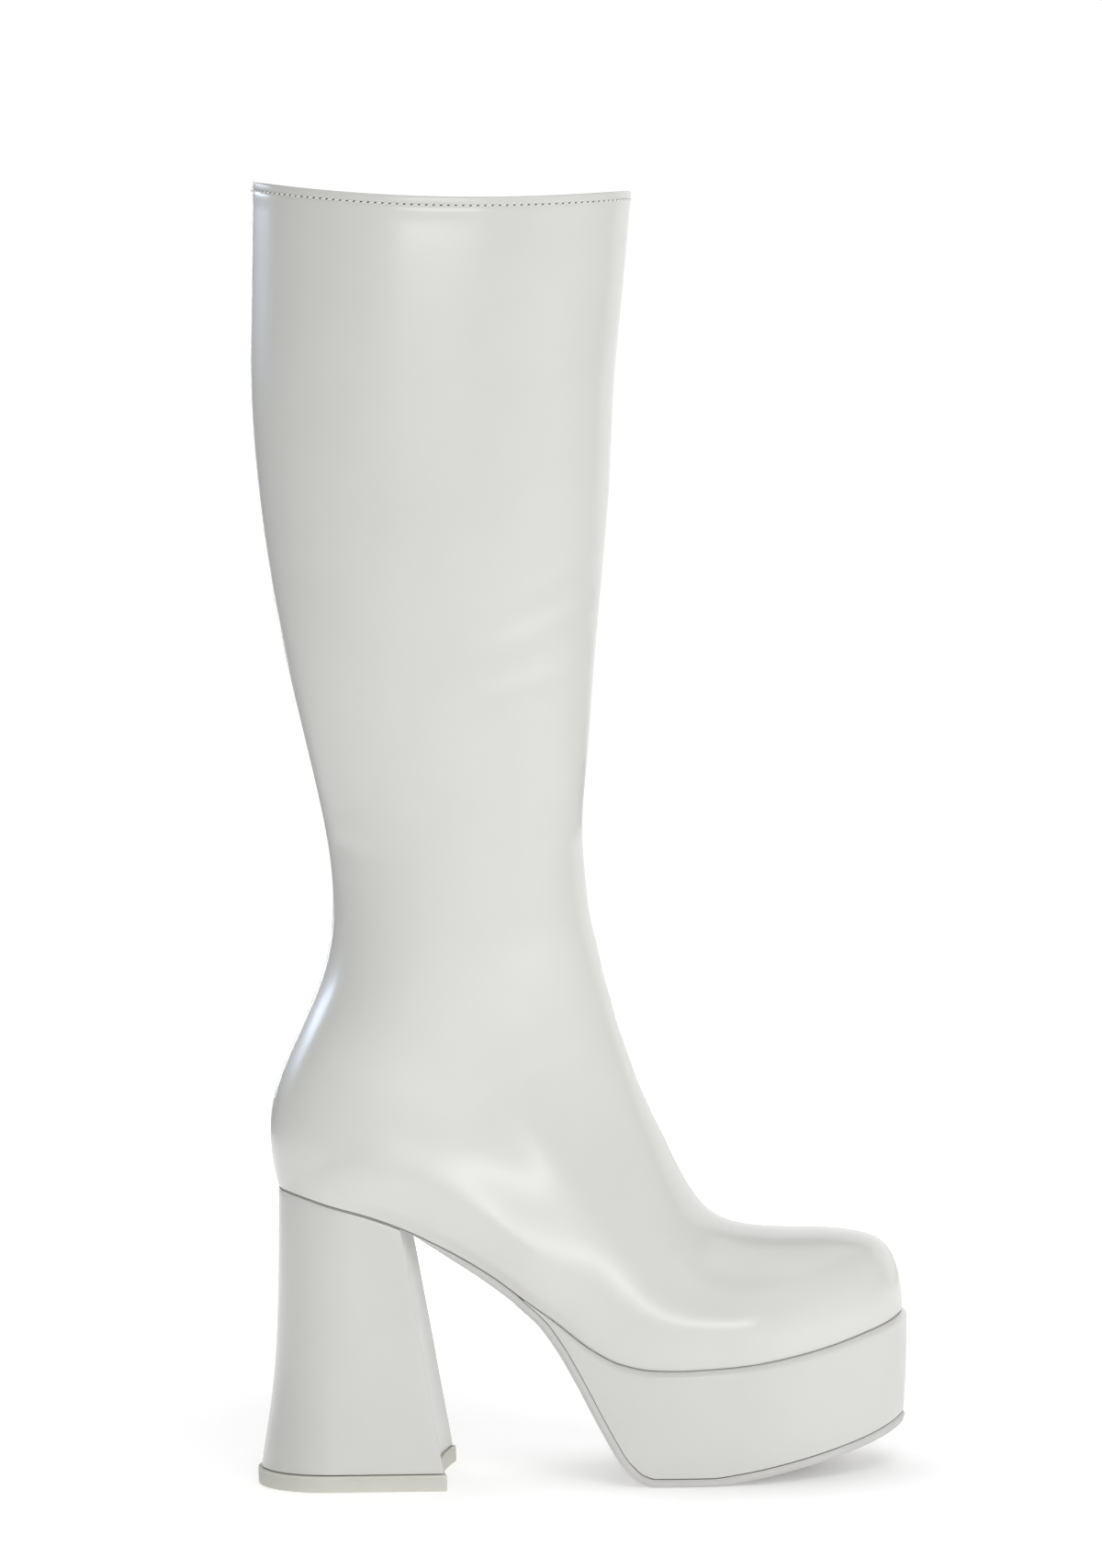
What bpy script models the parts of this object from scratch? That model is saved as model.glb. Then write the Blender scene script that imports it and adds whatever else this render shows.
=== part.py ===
"""A knee-high go go boot for the right foot, standing empty on its heel and platform.

Metres, +Z up, +X towards the toe, -Y the outer side. The origin is the middle of the heel's tread.
"""

from types import SimpleNamespace

import bpy
import numpy as np

# Last: the form that the upper, insole and soles are made on
LAST_LENGTH = 0.2236
BALL_WIDTH = 0.083
SEAT_WIDTH = 0.0545
HEEL_HEIGHT = 0.108
BALL_HEIGHT = 0.042
TOE_SPRING = 0.0144
TOE_BOX_HEIGHT = 0.0375
MOST_FOOT = 0.999
TOE_SWING = 0.0035
TOE_ROUND_OUTER = 0.060
TOE_ROUND_INNER = 0.052
TOE_POWER_OUTER = 2.0
TOE_POWER_INNER = 2.3
HEEL_POWER = 2.0

# Leg of the boot
BOOT_HEIGHT = 0.469
ANKLE_HEIGHT = 0.219
ANKLE_LENGTH = 0.0905
ANKLE_WIDTH = 0.069
COLLAR_LENGTH = 0.136
COLLAR_WIDTH = 0.090
COLLAR_DIP = 0.004
LEG_AXIS_FROM_BACK = 0.0694

# Walls, soles and clearances
UPPER_WALL = 0.002
INSOLE_THICKNESS = 0.0025
INSOLE_CLEARANCE = 0.001
INSOLE_BEVEL = 0.0008
OUTSOLE_THICKNESS = 0.003
OUTSOLE_SKIVE = 0.0012
OUTSOLE_BEVEL = 0.0013
SOLE_SPRING = 0.0165
PLATFORM_LIP = 0.0017
PLATFORM_DRAFT = 0.0023
PLATFORM_EDGE_RADIUS = 0.0025
PLATFORM_REAR_EDGE = 0.0004
MOST_ROUNDED = 0.45
GAP = 0.0003

# Heel
HEEL_BACK_TO_ORIGIN = 0.0244
TREAD_BACK = 0.0348
TREAD_BREAST = 0.0348
TREAD_WIDTH = 0.067
TREAD_BACK_RADIUS = 0.031
BREAST_HOLLOW = 0.0035
BREAST_CHAMFER = 0.0011
TIP_THICKNESS = 0.006
TIP_PROUD = 0.0003

# Stations: shares of the last's length from the heel's back
SWING_START = 0.42
BREAST_STATION = 0.203
LIP_START = 0.39
LIP_FULL = 0.48
BEND_END = 0.65

# Facets
SIDE_COLUMNS = 18
SOLE_STATIONS = 36
HEEL_SIDE_COLUMNS = 10
HEEL_BREAST_COLUMNS = 6
EDGE_ANGLES = (0, 30, 60, 90)
SHARP_ANGLE = 40
WALK_SAMPLES = 1601
SECTION_SAMPLES = 121
ARC_SAMPLES = 61
SLOPE_STEP = 0.00002

# Bottom line of the last. heel is the share of the heel's lift over the ball, spring that of the toe spring.
BOTTOM_COLUMNS = ("station", "heel", "spring")
BOTTOM = (
    (0.00, 1.000, 0.00),
    (0.03, 0.980, 0.00),
    (0.09, 0.920, 0.00),
    (0.15, 0.860, 0.00),
    (0.20, 0.796, 0.00),
    (0.25, 0.715, 0.00),
    (0.30, 0.622, 0.00),
    (0.35, 0.513, 0.00),
    (0.40, 0.382, 0.00),
    (0.45, 0.258, 0.00),
    (0.50, 0.124, 0.00),
    (0.55, 0.037, 0.00),
    (0.60, 0.004, 0.00),
    (0.64, 0.000, 0.00),
    (0.70, 0.000, 0.03),
    (0.76, 0.000, 0.10),
    (0.82, 0.000, 0.24),
    (0.88, 0.000, 0.43),
    (0.94, 0.000, 0.68),
    (0.98, 0.000, 0.86),
    (1.00, 0.000, 1.00),
)

# Plan of the last's bottom before its ends are rounded. Each side's half width goes from the seat's, at 0,
# to the ball's, at 1.
PLAN_COLUMNS = ("station", "outer", "inner")
PLAN = (
    (0.00, 0.00, 0.00),
    (0.12, 0.00, 0.00),
    (0.20, 0.04, -0.05),
    (0.30, 0.11, -0.19),
    (0.40, 0.25, -0.25),
    (0.50, 0.53, 0.02),
    (0.60, 0.83, 0.58),
    (0.68, 0.95, 1.00),
    (0.76, 0.95, 1.12),
    (0.84, 0.91, 1.12),
    (1.00, 0.90, 1.10),
)

# Underside of the platform: share of the height between outsole and last, and share of the sole's spring.
PLATFORM_COLUMNS = ("station", "rise", "spring")
PLATFORM = (
    (0.385, 1.000, 0.000),
    (0.425, 0.972, 0.000),
    (0.460, 0.878, 0.000),
    (0.488, 0.735, 0.000),
    (0.516, 0.518, 0.000),
    (0.537, 0.333, 0.000),
    (0.551, 0.203, 0.000),
    (0.565, 0.108, 0.000),
    (0.580, 0.036, 0.000),
    (0.600, 0.000, 0.000),
    (0.690, 0.000, 0.000),
    (0.725, 0.000, 0.055),
    (0.770, 0.000, 0.150),
    (0.814, 0.000, 0.265),
    (0.858, 0.000, 0.395),
    (0.902, 0.000, 0.545),
    (0.940, 0.000, 0.690),
    (0.970, 0.000, 0.835),
    (1.000, 0.000, 1.020),
)

# Leg sections from the collar down to the ankle. The heights are shares of the leg above the ankle, at the
# section's back and front ends. back, front and side go from the ankle's half size, at 0, to the collar's.
# widest is where the section is widest, from its back end. The last two columns are how square it is.
LEG_COLUMNS = ("up_back", "up_front", "back", "front", "side", "widest", "square_back", "square_front")
LEG = (
    (1.000, 0.970, 0.938, 1.035, 1.00, 0.50, 2.20, 2.15),
    (0.844, 0.844, 1.018, 0.880, 0.97, 0.50, 2.20, 2.15),
    (0.704, 0.704, 1.075, 0.680, 0.88, 0.50, 2.20, 2.15),
    (0.564, 0.564, 1.009, 0.565, 0.74, 0.50, 2.20, 2.15),
    (0.424, 0.424, 0.850, 0.400, 0.56, 0.50, 2.20, 2.15),
    (0.284, 0.290, 0.587, 0.226, 0.34, 0.50, 2.20, 2.15),
    (0.124, 0.150, 0.226, 0.065, 0.10, 0.50, 2.20, 2.15),
    (-0.034, 0.036, 0.037, -0.037, 0.00, 0.50, 2.22, 2.15),
)

# Sections that fan out round the heel and over the foot. up is the height of the back end between the
# seat, at 0, and the ankle. front is the station of the upper end. Its height over the last's bottom is box
# toe boxes and climb of what is left up to the ankle. outer and inner are half widths, as in the plan.
FAN_COLUMNS = (
    "station", "up", "front", "box", "climb", "outer", "inner", "widest", "square_low", "square_high",
)
FAN_HEEL = (
    (0.083, 0.742, 0.5150, 1.42, 0.818, 0.50, 0.49, 0.500, 2.20, 2.12),
    (0.033, 0.507, 0.5245, 1.42, 0.739, 0.50, 0.48, 0.490, 2.20, 2.08),
    (-0.003, 0.293, 0.5350, 1.42, 0.651, 0.50, 0.47, 0.475, 2.20, 2.05),
    (-0.008, 0.117, 0.5430, 1.42, 0.601, 0.50, 0.46, 0.463, 2.20, 2.03),
)
FAN_FOOT = (
    (0.000, 0.0, 0.5495, 1.42, 0.554, 0.50, 0.45, 0.460, 2.20, 2.02),
    (0.064, 0.0, 0.5600, 1.42, 0.493, 0.50, 0.44, 0.395, 2.20, 2.00),
    (0.132, 0.0, 0.5700, 1.42, 0.442, 0.51, 0.43, 0.340, 2.20, 2.00),
    (0.221, 0.0, 0.5825, 1.42, 0.379, 0.54, 0.43, 0.285, 2.15, 1.98),
    (0.333, 0.0, 0.6000, 1.42, 0.303, 0.62, 0.48, 0.240, 2.10, 1.97),
    (0.445, 0.0, 0.6235, 1.42, 0.213, 0.76, 0.66, 0.225, 2.05, 1.97),
    (0.543, 0.0, 0.6525, 1.42, 0.098, 0.90, 0.94, 0.215, 2.00, 1.98),
    (0.623, 0.0, 0.6885, 1.42, 0.000, 1.01, 1.14, 0.205, 2.00, 2.02),
    (0.691, 0.0, 0.7285, 1.26, 0.000, 1.04, 1.21, 0.200, 2.00, 2.08),
    (0.758, 0.0, 0.7780, 1.17, 0.000, 1.04, 1.22, 0.190, 2.00, 2.16),
    (0.825, 0.0, 0.8380, 1.085, 0.000, 1.02, 1.21, 0.180, 2.00, 2.26),
    (0.892, 0.0, 0.9010, 0.973, 0.000, 1.00, 1.20, 0.170, 2.00, 2.36),
    (0.936, 0.0, 0.9525, 0.819, 0.000, 0.98, 1.19, 0.160, 2.00, 2.42),
    (0.963, 0.0, 0.9770, 0.675, 0.000, 0.97, 1.18, 0.150, 2.00, 2.45),
    (0.981, 0.0, 0.9905, 0.500, 0.000, 0.96, 1.17, 0.150, 2.00, 2.45),
    (0.993, 0.0, 0.9985, 0.293, 0.000, 0.95, 1.16, 0.150, 2.00, 2.45),
    (1.000, 0.0, 1.0000, 0.000, 0.000, 0.95, 1.16, 0.150, 2.00, 2.45),
)

# Outsole's thickness from the skived seat, at 0, to its full one.
SKIVE_COLUMNS = ("station", "full")
SKIVE = (
    (0.000, 0.00),
    (0.215, 0.00),
    (0.250, 0.35),
    (0.290, 0.75),
    (0.360, 1.00),
    (1.000, 1.00),
)

# Heel from the seat, at level 1, to the floor: how far its outline has gone from the seat's to the tread's,
# down the back line and down the breast's corners.
FLARE_COLUMNS = ("level", "back", "breast")
FLARE = (
    (0.00, 1.000, 1.00),
    (0.10, 0.830, 0.91),
    (0.20, 0.640, 0.81),
    (0.35, 0.390, 0.66),
    (0.50, 0.235, 0.52),
    (0.70, 0.115, 0.32),
    (0.85, 0.050, 0.17),
    (1.00, 0.000, 0.00),
)


def columns(names, rows):
    return SimpleNamespace(**{name: np.array(values, float) for name, values in zip(names, zip(*rows))})


def smooth(knots, values, at):
    # Natural cubic through the knots, for what shows as a curved surface.
    knots, values, at = (np.asarray(each, float) for each in (knots, values, at))
    step = np.diff(knots)
    slope = np.diff(values) / step
    matrix = np.eye(len(knots))
    right = np.zeros(len(knots))
    for i in range(1, len(knots) - 1):
        matrix[i, i - 1:i + 2] = step[i - 1], 2 * (step[i - 1] + step[i]), step[i]
        right[i] = 6 * (slope[i] - slope[i - 1])
    bend = np.linalg.solve(matrix, right)
    i = np.clip(np.searchsorted(knots, at) - 1, 0, len(step) - 1)
    low = (knots[i + 1] - at) / step[i]
    high = 1 - low
    curve = (low ** 3 - low) * bend[i] + (high ** 3 - high) * bend[i + 1]
    return low * values[i] + high * values[i + 1] + curve * step[i] ** 2 / 6


def steady(knots, values, at):
    # Cubic through the knots that never overshoots, so that level stretches stay flat.
    knots, values = np.asarray(knots, float), np.asarray(values, float)
    at = np.clip(at, knots[0], knots[-1])
    step = np.diff(knots)
    slope = np.diff(values) / step
    tangent = np.zeros(len(knots))
    product = slope[1:] * slope[:-1]
    total = np.where(product > 0, slope[1:] + slope[:-1], 1)
    tangent[1:-1] = np.where(product > 0, 2 * product / total, 0)
    tangent[0], tangent[-1] = slope[0], slope[-1]
    i = np.clip(np.searchsorted(knots, at) - 1, 0, len(step) - 1)
    t = (at - knots[i]) / step[i]
    start = values[i] * (1 + 2 * t) * (1 - t) ** 2 + tangent[i] * step[i] * t * (1 - t) ** 2
    end = values[i + 1] * t ** 2 * (3 - 2 * t) + tangent[i + 1] * step[i] * t ** 2 * (t - 1)
    return start + end


BOTTOM_LINE = columns(BOTTOM_COLUMNS, BOTTOM)
PLAN_LINE = columns(PLAN_COLUMNS, PLAN)
PLATFORM_LINE = columns(PLATFORM_COLUMNS, PLATFORM)
FLARE_LINE = columns(FLARE_COLUMNS, FLARE)
SKIVE_LINE = columns(SKIVE_COLUMNS, SKIVE)


def x_at(station):
    return station * LAST_LENGTH - HEEL_BACK_TO_ORIGIN


def station_at(x):
    return (x + HEEL_BACK_TO_ORIGIN) / LAST_LENGTH


def bottom_height(x):
    # Height of the last's bottom, which the upper's lower edge and the insole stand on.
    station = station_at(x)
    lift = steady(BOTTOM_LINE.station, BOTTOM_LINE.heel, station) * (HEEL_HEIGHT - BALL_HEIGHT)
    return BALL_HEIGHT + lift + steady(BOTTOM_LINE.station, BOTTOM_LINE.spring, station) * TOE_SPRING


def sole_top_height(x):
    # Height of the outsole's top: under the last at the seat and waist, then down the platform's slope.
    station = station_at(x)
    under_last = bottom_height(x) - GAP
    rise = steady(PLATFORM_LINE.station, PLATFORM_LINE.rise, station)
    spring = steady(PLATFORM_LINE.station, PLATFORM_LINE.spring, station) * SOLE_SPRING
    return OUTSOLE_THICKNESS + (under_last - OUTSOLE_THICKNESS) * rise + spring


def centre(x):
    # The forefoot swings to the inner side.
    start = x_at(SWING_START)
    return TOE_SWING * (np.clip(x - start, 0, None) / (x_at(1) - start)) ** 2


def half_width(share):
    return SEAT_WIDTH / 2 + share * (BALL_WIDTH - SEAT_WIDTH) / 2


def rounded_end(distance, length, power):
    # 0 at the end, 1 once the distance from it reaches the length.
    left = np.clip(1 - distance / length, 0, 1)
    return np.clip(1 - left ** power, 0, 1) ** (1 / power)


def toe_round(x, outer):
    distance = x_at(1) - x
    if outer:
        return rounded_end(distance, TOE_ROUND_OUTER, TOE_POWER_OUTER)
    return rounded_end(distance, TOE_ROUND_INNER, TOE_POWER_INNER)


def feather(x, outer):
    # Half width of the last's bottom on one side.
    shares = PLAN_LINE.outer if outer else PLAN_LINE.inner
    body = half_width(smooth(PLAN_LINE.station, shares, station_at(x)))
    heel_round = rounded_end(x - x_at(0), SEAT_WIDTH / 2, HEEL_POWER)
    return body * heel_round * toe_round(x, outer)


def path_length(points):
    steps = np.linalg.norm(np.diff(points, axis=0), axis=1)
    return np.concatenate(([0], np.cumsum(steps)))


def feather_walk():
    # Places along the last and the mean length walked along both feather edges from the heel's back.
    place = x_at((1 - np.cos(np.linspace(0, np.pi, WALK_SAMPLES))) / 2)
    outer = path_length(np.stack((place, centre(place) - feather(place, True)), 1))
    inner = path_length(np.stack((place, centre(place) + feather(place, False)), 1))
    return place, (outer + inner) / 2


PLACE, WALK = feather_walk()


def sole_places():
    # Places from the heel's back to the toe, evenly spaced along the feather edge.
    return np.interp(np.linspace(0, WALK[-1], SOLE_STATIONS + 1), WALK, PLACE)


def spine_places():
    # The same places, twice as close where the outsole bends round the platform's rear.
    places = sole_places()
    middle = (places[1:] + places[:-1]) / 2
    bend = (middle > x_at(PLATFORM_LINE.station[0])) & (middle < x_at(BEND_END))
    return np.sort(np.concatenate((places, middle[bend])))


def sole_loop(places):
    # The feather edge in plan, up the outer side to the toe and back down the inner side.
    outer = np.stack((places, centre(places) - feather(places, True)), 1)
    inner = np.stack((places, centre(places) + feather(places, False)), 1)
    closed_heel = places[0] <= x_at(0)
    return np.concatenate((outer, inner[-2:0 if closed_heel else None:-1]))


def plan_normals(loop, closed):
    before, after = np.roll(loop, 1, axis=0), np.roll(loop, -1, axis=0)
    if not closed:
        before[0], after[-1] = loop[0], loop[-1]
    along = after - before
    normals = np.stack((along[:, 1], -along[:, 0]), 1)
    return normals / np.linalg.norm(normals, axis=1, keepdims=True)


def ring(loop, normals, outset, height):
    # One loop of a sole, moved out by outset, each point at the height that its place gives.
    plan = loop + normals * np.broadcast_to(outset, len(loop))[:, None]
    return np.column_stack((plan, height(plan[:, 0])))


def ladder_faces(count, start):
    # Rungs across a loop that runs up one side and down the other, from the heel to the toe.
    heel_pole = count % 2 == 0
    toe = count // 2
    partner = count if heel_pole else count - 1
    faces = [(0, 1, count - 1)] if heel_pole else []
    first = 1 if heel_pole else 0
    faces += [(i, i + 1, partner - i - 1, partner - i) for i in range(first, toe - 1)]
    faces.append((toe - 1, toe, toe + 1))
    return [tuple(start + corner for corner in face) for face in faces]


def wall_faces(rows, count):
    faces = []
    for row in range(rows - 1):
        for i in range(count):
            here, beside = row * count + i, row * count + (i + 1) % count
            faces.append((here, beside, beside + count, here + count))
    return faces


def material(name, colour, roughness):
    made = bpy.data.materials.new(name)
    made.use_nodes = True
    shader = made.node_tree.nodes["Principled BSDF"]
    shader.inputs["Base Color"].default_value = (*colour, 1)
    shader.inputs["Roughness"].default_value = roughness
    shader.inputs["Metallic"].default_value = 0
    made.diffuse_color = (*colour, 1)
    return made


def solid(name, points, faces, finish, parent):
    mesh = bpy.data.meshes.new(name)
    mesh.from_pydata(np.asarray(points).tolist(), [], faces)
    mesh.validate()
    mesh.materials.append(finish)
    mesh.shade_smooth()
    mesh.set_sharp_from_angle(angle=np.radians(SHARP_ANGLE))
    made = bpy.data.objects.new(name, mesh)
    made.parent = parent
    bpy.context.collection.objects.link(made)
    return made


def stacked(name, rings, finish, parent):
    # A sole from its lowest loop to its highest, closed by ladders at both ends.
    count = len(rings[0])
    top = (len(rings) - 1) * count
    bottom_cap = [face[::-1] for face in ladder_faces(count, 0)]
    faces = wall_faces(len(rings), count) + bottom_cap + ladder_faces(count, top)
    return solid(name, np.concatenate(rings), faces, finish, parent)


def section_rows():
    # Every named section of the upper, with how far each lies along the heel's back and the feather edge.
    leg = columns(LEG_COLUMNS, LEG)
    fan = columns(FAN_COLUMNS, FAN_HEEL + FAN_FOOT)
    leg_height = BOOT_HEIGHT - ANKLE_HEIGHT
    axis = x_at(0) + LEG_AXIS_FROM_BACK
    leg_back = axis - ANKLE_LENGTH / 2 - leg.back * (COLLAR_LENGTH - ANKLE_LENGTH) / 2
    leg_front = axis + ANKLE_LENGTH / 2 + leg.front * (COLLAR_LENGTH - ANKLE_LENGTH) / 2
    leg_half = ANKLE_WIDTH / 2 + leg.side * (COLLAR_WIDTH - ANKLE_WIDTH) / 2
    leg_back_z = ANKLE_HEIGHT + leg.up_back * leg_height
    leg_front_z = ANKLE_HEIGHT + leg.up_front * leg_height

    # The fan's upper ends climb from the toe box to the front of the ankle.
    vamp = TOE_BOX_HEIGHT * fan.box
    climb = leg_front_z[-1] - bottom_height(leg_front[-1]) - vamp[0]
    front_x = x_at(fan.front)
    front_z = bottom_height(front_x) + vamp + climb * fan.climb
    low_x = x_at(fan.station)
    low_z = bottom_height(low_x)
    heel_rows = len(FAN_HEEL)
    low_z[:heel_rows] = HEEL_HEIGHT + fan.up[:heel_rows] * (leg_back_z[-1] - HEEL_HEIGHT)

    closed = len(LEG) + heel_rows + 1
    back = np.stack((np.concatenate((leg_back, low_x)), np.concatenate((leg_back_z, low_z))), 1)[:closed]
    down_the_back = path_length(back)
    along_feather = np.interp(low_x[heel_rows + 1:], PLACE, WALK)
    return SimpleNamespace(
        back=back,
        walk=np.concatenate((down_the_back - down_the_back[-1], along_feather)),
        front_x=np.concatenate((leg_front, front_x)),
        front_z=np.concatenate((leg_front_z, front_z)),
        outer=np.concatenate((leg_half, half_width(fan.outer))),
        inner=np.concatenate((leg_half, half_width(fan.inner))),
        widest=np.concatenate((leg.widest, fan.widest)),
        square_low=np.concatenate((leg.square_back, fan.square_low)),
        square_high=np.concatenate((leg.square_front, fan.square_high)),
    )


def half_section(length, widest, foot, half, square_low, square_high):
    # One side of a section from its lower end to its upper: how far along, and how far out. It starts at
    # the feather edge's half width, swells to its own and closes at the top.
    along = length * (1 - np.cos(np.linspace(0, np.pi, SECTION_SAMPLES))) / 2
    peak = widest * length
    start = min(foot / half, MOST_FOOT)
    reach = peak / (1 - start ** square_low) ** (1 / square_low)
    low = 1 - (np.clip(peak - along, 0, None) / reach) ** square_low
    high = 1 - (np.clip(along - peak, 0, None) / (length - peak)) ** square_high
    out = half * low.clip(0) ** (1 / square_low) * high.clip(0) ** (1 / square_high)
    walked = path_length(np.stack((along, out), 1))
    even = np.linspace(0, walked[-1], SIDE_COLUMNS + 1)
    return np.interp(even, walked, along), np.interp(even, walked, out)


def upper_grid():
    # Points of the upper's outside: rows from the collar to the toe, each from the outer feather edge over
    # the top to the inner one. Above the seat a row starts and ends on the back seam.
    rows = section_rows()
    back_walk = rows.walk[:len(rows.back)]
    halfway = (back_walk[1:] + back_walk[:-1]) / 2
    closed = np.sort(np.concatenate((back_walk, halfway)))
    places = sole_places()[1:]
    walk = np.concatenate((closed, np.interp(places, PLACE, WALK)))

    low_x = np.concatenate((smooth(back_walk, rows.back[:, 0], closed), places))
    low_z = np.concatenate((smooth(back_walk, rows.back[:, 1], closed), bottom_height(places)))
    shape = {name: smooth(rows.walk, values, walk) for name, values in vars(rows).items()
             if name not in ("back", "walk")}
    grid = np.zeros((len(walk), 2 * SIDE_COLUMNS + 1, 3))
    for row in range(len(walk) - 1):
        low = np.array((low_x[row], low_z[row]))
        across = np.array((shape["front_x"][row], shape["front_z"][row])) - low
        length = np.linalg.norm(across)
        for side, name in ((-1, "outer"), (1, "inner")):
            outer = side < 0
            foot = feather(low_x[row], outer) if row >= len(closed) else 0.0
            half = shape[name][row] * (toe_round(low_x[row], outer) if row >= len(closed) else 1.0)
            along, out = half_section(length, shape["widest"][row], foot, half,
                                      shape["square_low"][row], shape["square_high"][row])
            place = low + across / length * along[:, None]
            if row == 0:
                share = along / length
                place[:, 1] -= 4 * COLLAR_DIP * share * (1 - share)
            points = np.stack((place[:, 0], centre(place[:, 0]) + side * out, place[:, 1]), 1)
            if outer:
                grid[row, :SIDE_COLUMNS + 1] = points
            else:
                grid[row, SIDE_COLUMNS:] = points[::-1]
    grid[-1] = x_at(1), centre(x_at(1)), bottom_height(x_at(1))
    return grid, len(closed)


def grid_faces(index):
    # Four corners between neighbouring rows and columns, or three where two of them are one point.
    faces = []
    for row in range(index.shape[0] - 1):
        for column in range(index.shape[1] - 1):
            corners = (index[row, column], index[row + 1, column],
                       index[row + 1, column + 1], index[row, column + 1])
            faces.append(tuple(dict.fromkeys(int(corner) for corner in corners)))
    return [face for face in faces if len(face) > 2]


def point_normals(points, faces, level):
    # Mean over the faces round each point, by their size. At the points in level it stays horizontal.
    normals = np.zeros_like(points)
    for face in faces:
        corners = points[list(face)] - points[face[0]]
        normals[list(face)] += np.cross(corners[1:-1], corners[2:]).sum(axis=0)
    normals[level, 2] = 0
    length = np.linalg.norm(normals, axis=1, keepdims=True)
    return normals / np.where(length > 0, length, 1)


def make_upper(finish, parent):
    # The grid is the outside. The inside lies one wall further in along the surface's own normals.
    grid, closed = upper_grid()
    index = np.arange(grid.shape[0] * grid.shape[1]).reshape(grid.shape[:2])
    index[:closed, -1] = index[:closed, 0]
    index[-1] = index[-1, 0]
    faces = grid_faces(index)
    outside = grid.reshape(-1, 3)
    collar = [int(i) for i in index[0, :-1]]
    edge = [int(i) for i in index[closed - 1:, 0]] + [int(i) for i in index[closed:-1, -1][::-1]]
    inside = outside - UPPER_WALL * point_normals(outside, faces, collar + edge)
    inside[edge, 2] = bottom_height(inside[edge, 0])

    used = np.unique(index)
    renumber = np.full(len(outside), -1)
    renumber[used] = np.arange(len(used))
    count = len(used)
    shell = [tuple(int(renumber[i]) for i in face) for face in faces]
    shell += [tuple(i + count for i in face[::-1]) for face in shell]
    for loop, down in ((collar, False), (edge, True)):
        loop = [int(renumber[i]) for i in loop]
        for here, beside in zip(loop, loop[1:] + loop[:1]):
            rim = (here, beside, beside + count, here + count)
            shell.append(rim[::-1] if down else rim)
    return solid("upper", np.concatenate((outside[used], inside[used])), shell, finish, parent)


def make_insole(finish, parent):
    loop = sole_loop(sole_places())
    normals = plan_normals(loop, True)
    inset = -UPPER_WALL - INSOLE_CLEARANCE
    rings = [
        ring(loop, normals, inset, bottom_height),
        ring(loop, normals, inset, lambda x: bottom_height(x) + INSOLE_THICKNESS - INSOLE_BEVEL),
        ring(loop, normals, inset - INSOLE_BEVEL, lambda x: bottom_height(x) + INSOLE_THICKNESS),
    ]
    return stacked("insole", rings, finish, parent)


def platform_top_height(x):
    return bottom_height(x) - GAP


def platform_foot_height(x):
    return sole_top_height(x) + GAP


def platform_height(x):
    return np.clip(platform_top_height(x) - platform_foot_height(x), 0, None)


def lip(x):
    # How far the platform's rounded edge stands outside the feather edge: nothing at the waist.
    ramp = np.clip((station_at(x) - LIP_START) / (LIP_FULL - LIP_START), 0, 1)
    return PLATFORM_LIP * ramp ** 2 * (3 - 2 * ramp)


def platform_foot_outset(x):
    return lip(x) - PLATFORM_DRAFT * platform_height(x) / (BALL_HEIGHT - OUTSOLE_THICKNESS)


def make_platform(finish, parent):
    rear = PLACE[np.argmax(platform_height(PLACE) > PLATFORM_REAR_EDGE)]
    places = spine_places()
    loop = sole_loop(np.concatenate(((rear,), places[places > rear + PLATFORM_EDGE_RADIUS])))
    normals = plan_normals(loop, False)
    x = loop[:, 0]
    radius = np.minimum(PLATFORM_EDGE_RADIUS, MOST_ROUNDED * platform_height(x))
    rings = [ring(loop, normals, platform_foot_outset(x), platform_foot_height)]
    for angle in np.radians(EDGE_ANGLES):
        edge = ring(loop, normals, lip(x) - radius * (1 - np.cos(angle)), platform_top_height)
        edge[:, 2] -= radius * (1 - np.sin(angle))
        rings.append(edge)
    return stacked("platform", rings, finish, parent)


def outsole_ring(loop, normals, outset, depth):
    # depth runs from the outsole's top, at 0, to its tread, at 1, square to the top.
    points = ring(loop, normals, outset, sole_top_height)
    x = points[:, 0]
    slope = (sole_top_height(x + SLOPE_STEP) - sole_top_height(x - SLOPE_STEP)) / (2 * SLOPE_STEP)
    square = 1 / np.sqrt(1 + slope ** 2)
    full = steady(SKIVE_LINE.station, SKIVE_LINE.full, station_at(x))
    down = depth * (OUTSOLE_SKIVE + (OUTSOLE_THICKNESS - OUTSOLE_SKIVE) * full)
    points[:, 0] += down * slope * square
    points[:, 2] -= down * square
    return points


def make_outsole(finish, parent):
    loop = sole_loop(spine_places())
    normals = plan_normals(loop, True)
    outset = platform_foot_outset(loop[:, 0]) - GAP
    bevel = np.minimum(OUTSOLE_BEVEL, OUTSOLE_SKIVE)
    rings = [
        outsole_ring(loop, normals, outset - bevel, 1.0),
        outsole_ring(loop, normals, outset, 0.5),
        outsole_ring(loop, normals, outset, 0.0),
    ]
    return stacked("outsole", rings, finish, parent)


def seat_height(x):
    # Top of the heel, under the skived end of the outsole.
    spine = np.stack((PLACE, centre(PLACE)), 1)
    under = outsole_ring(spine, np.zeros_like(spine), 0.0, 1.0)
    return np.interp(x, under[:, 0], under[:, 2]) - GAP


def tread_side(share):
    # From the middle of the heel's back round to its breast corner, as a share of that walk.
    centre_x = TREAD_BACK_RADIUS - TREAD_BACK
    turn = np.linspace(0, np.pi / 2, ARC_SAMPLES)
    arc = np.stack((centre_x - TREAD_BACK_RADIUS * np.cos(turn), TREAD_BACK_RADIUS * np.sin(turn)), 1)
    line = np.concatenate((arc, ((TREAD_BREAST, TREAD_WIDTH / 2),)))
    walked = path_length(line) / path_length(line)[-1]
    return np.stack((np.interp(share, walked, line[:, 0]), np.interp(share, walked, line[:, 1])), 1)


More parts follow.
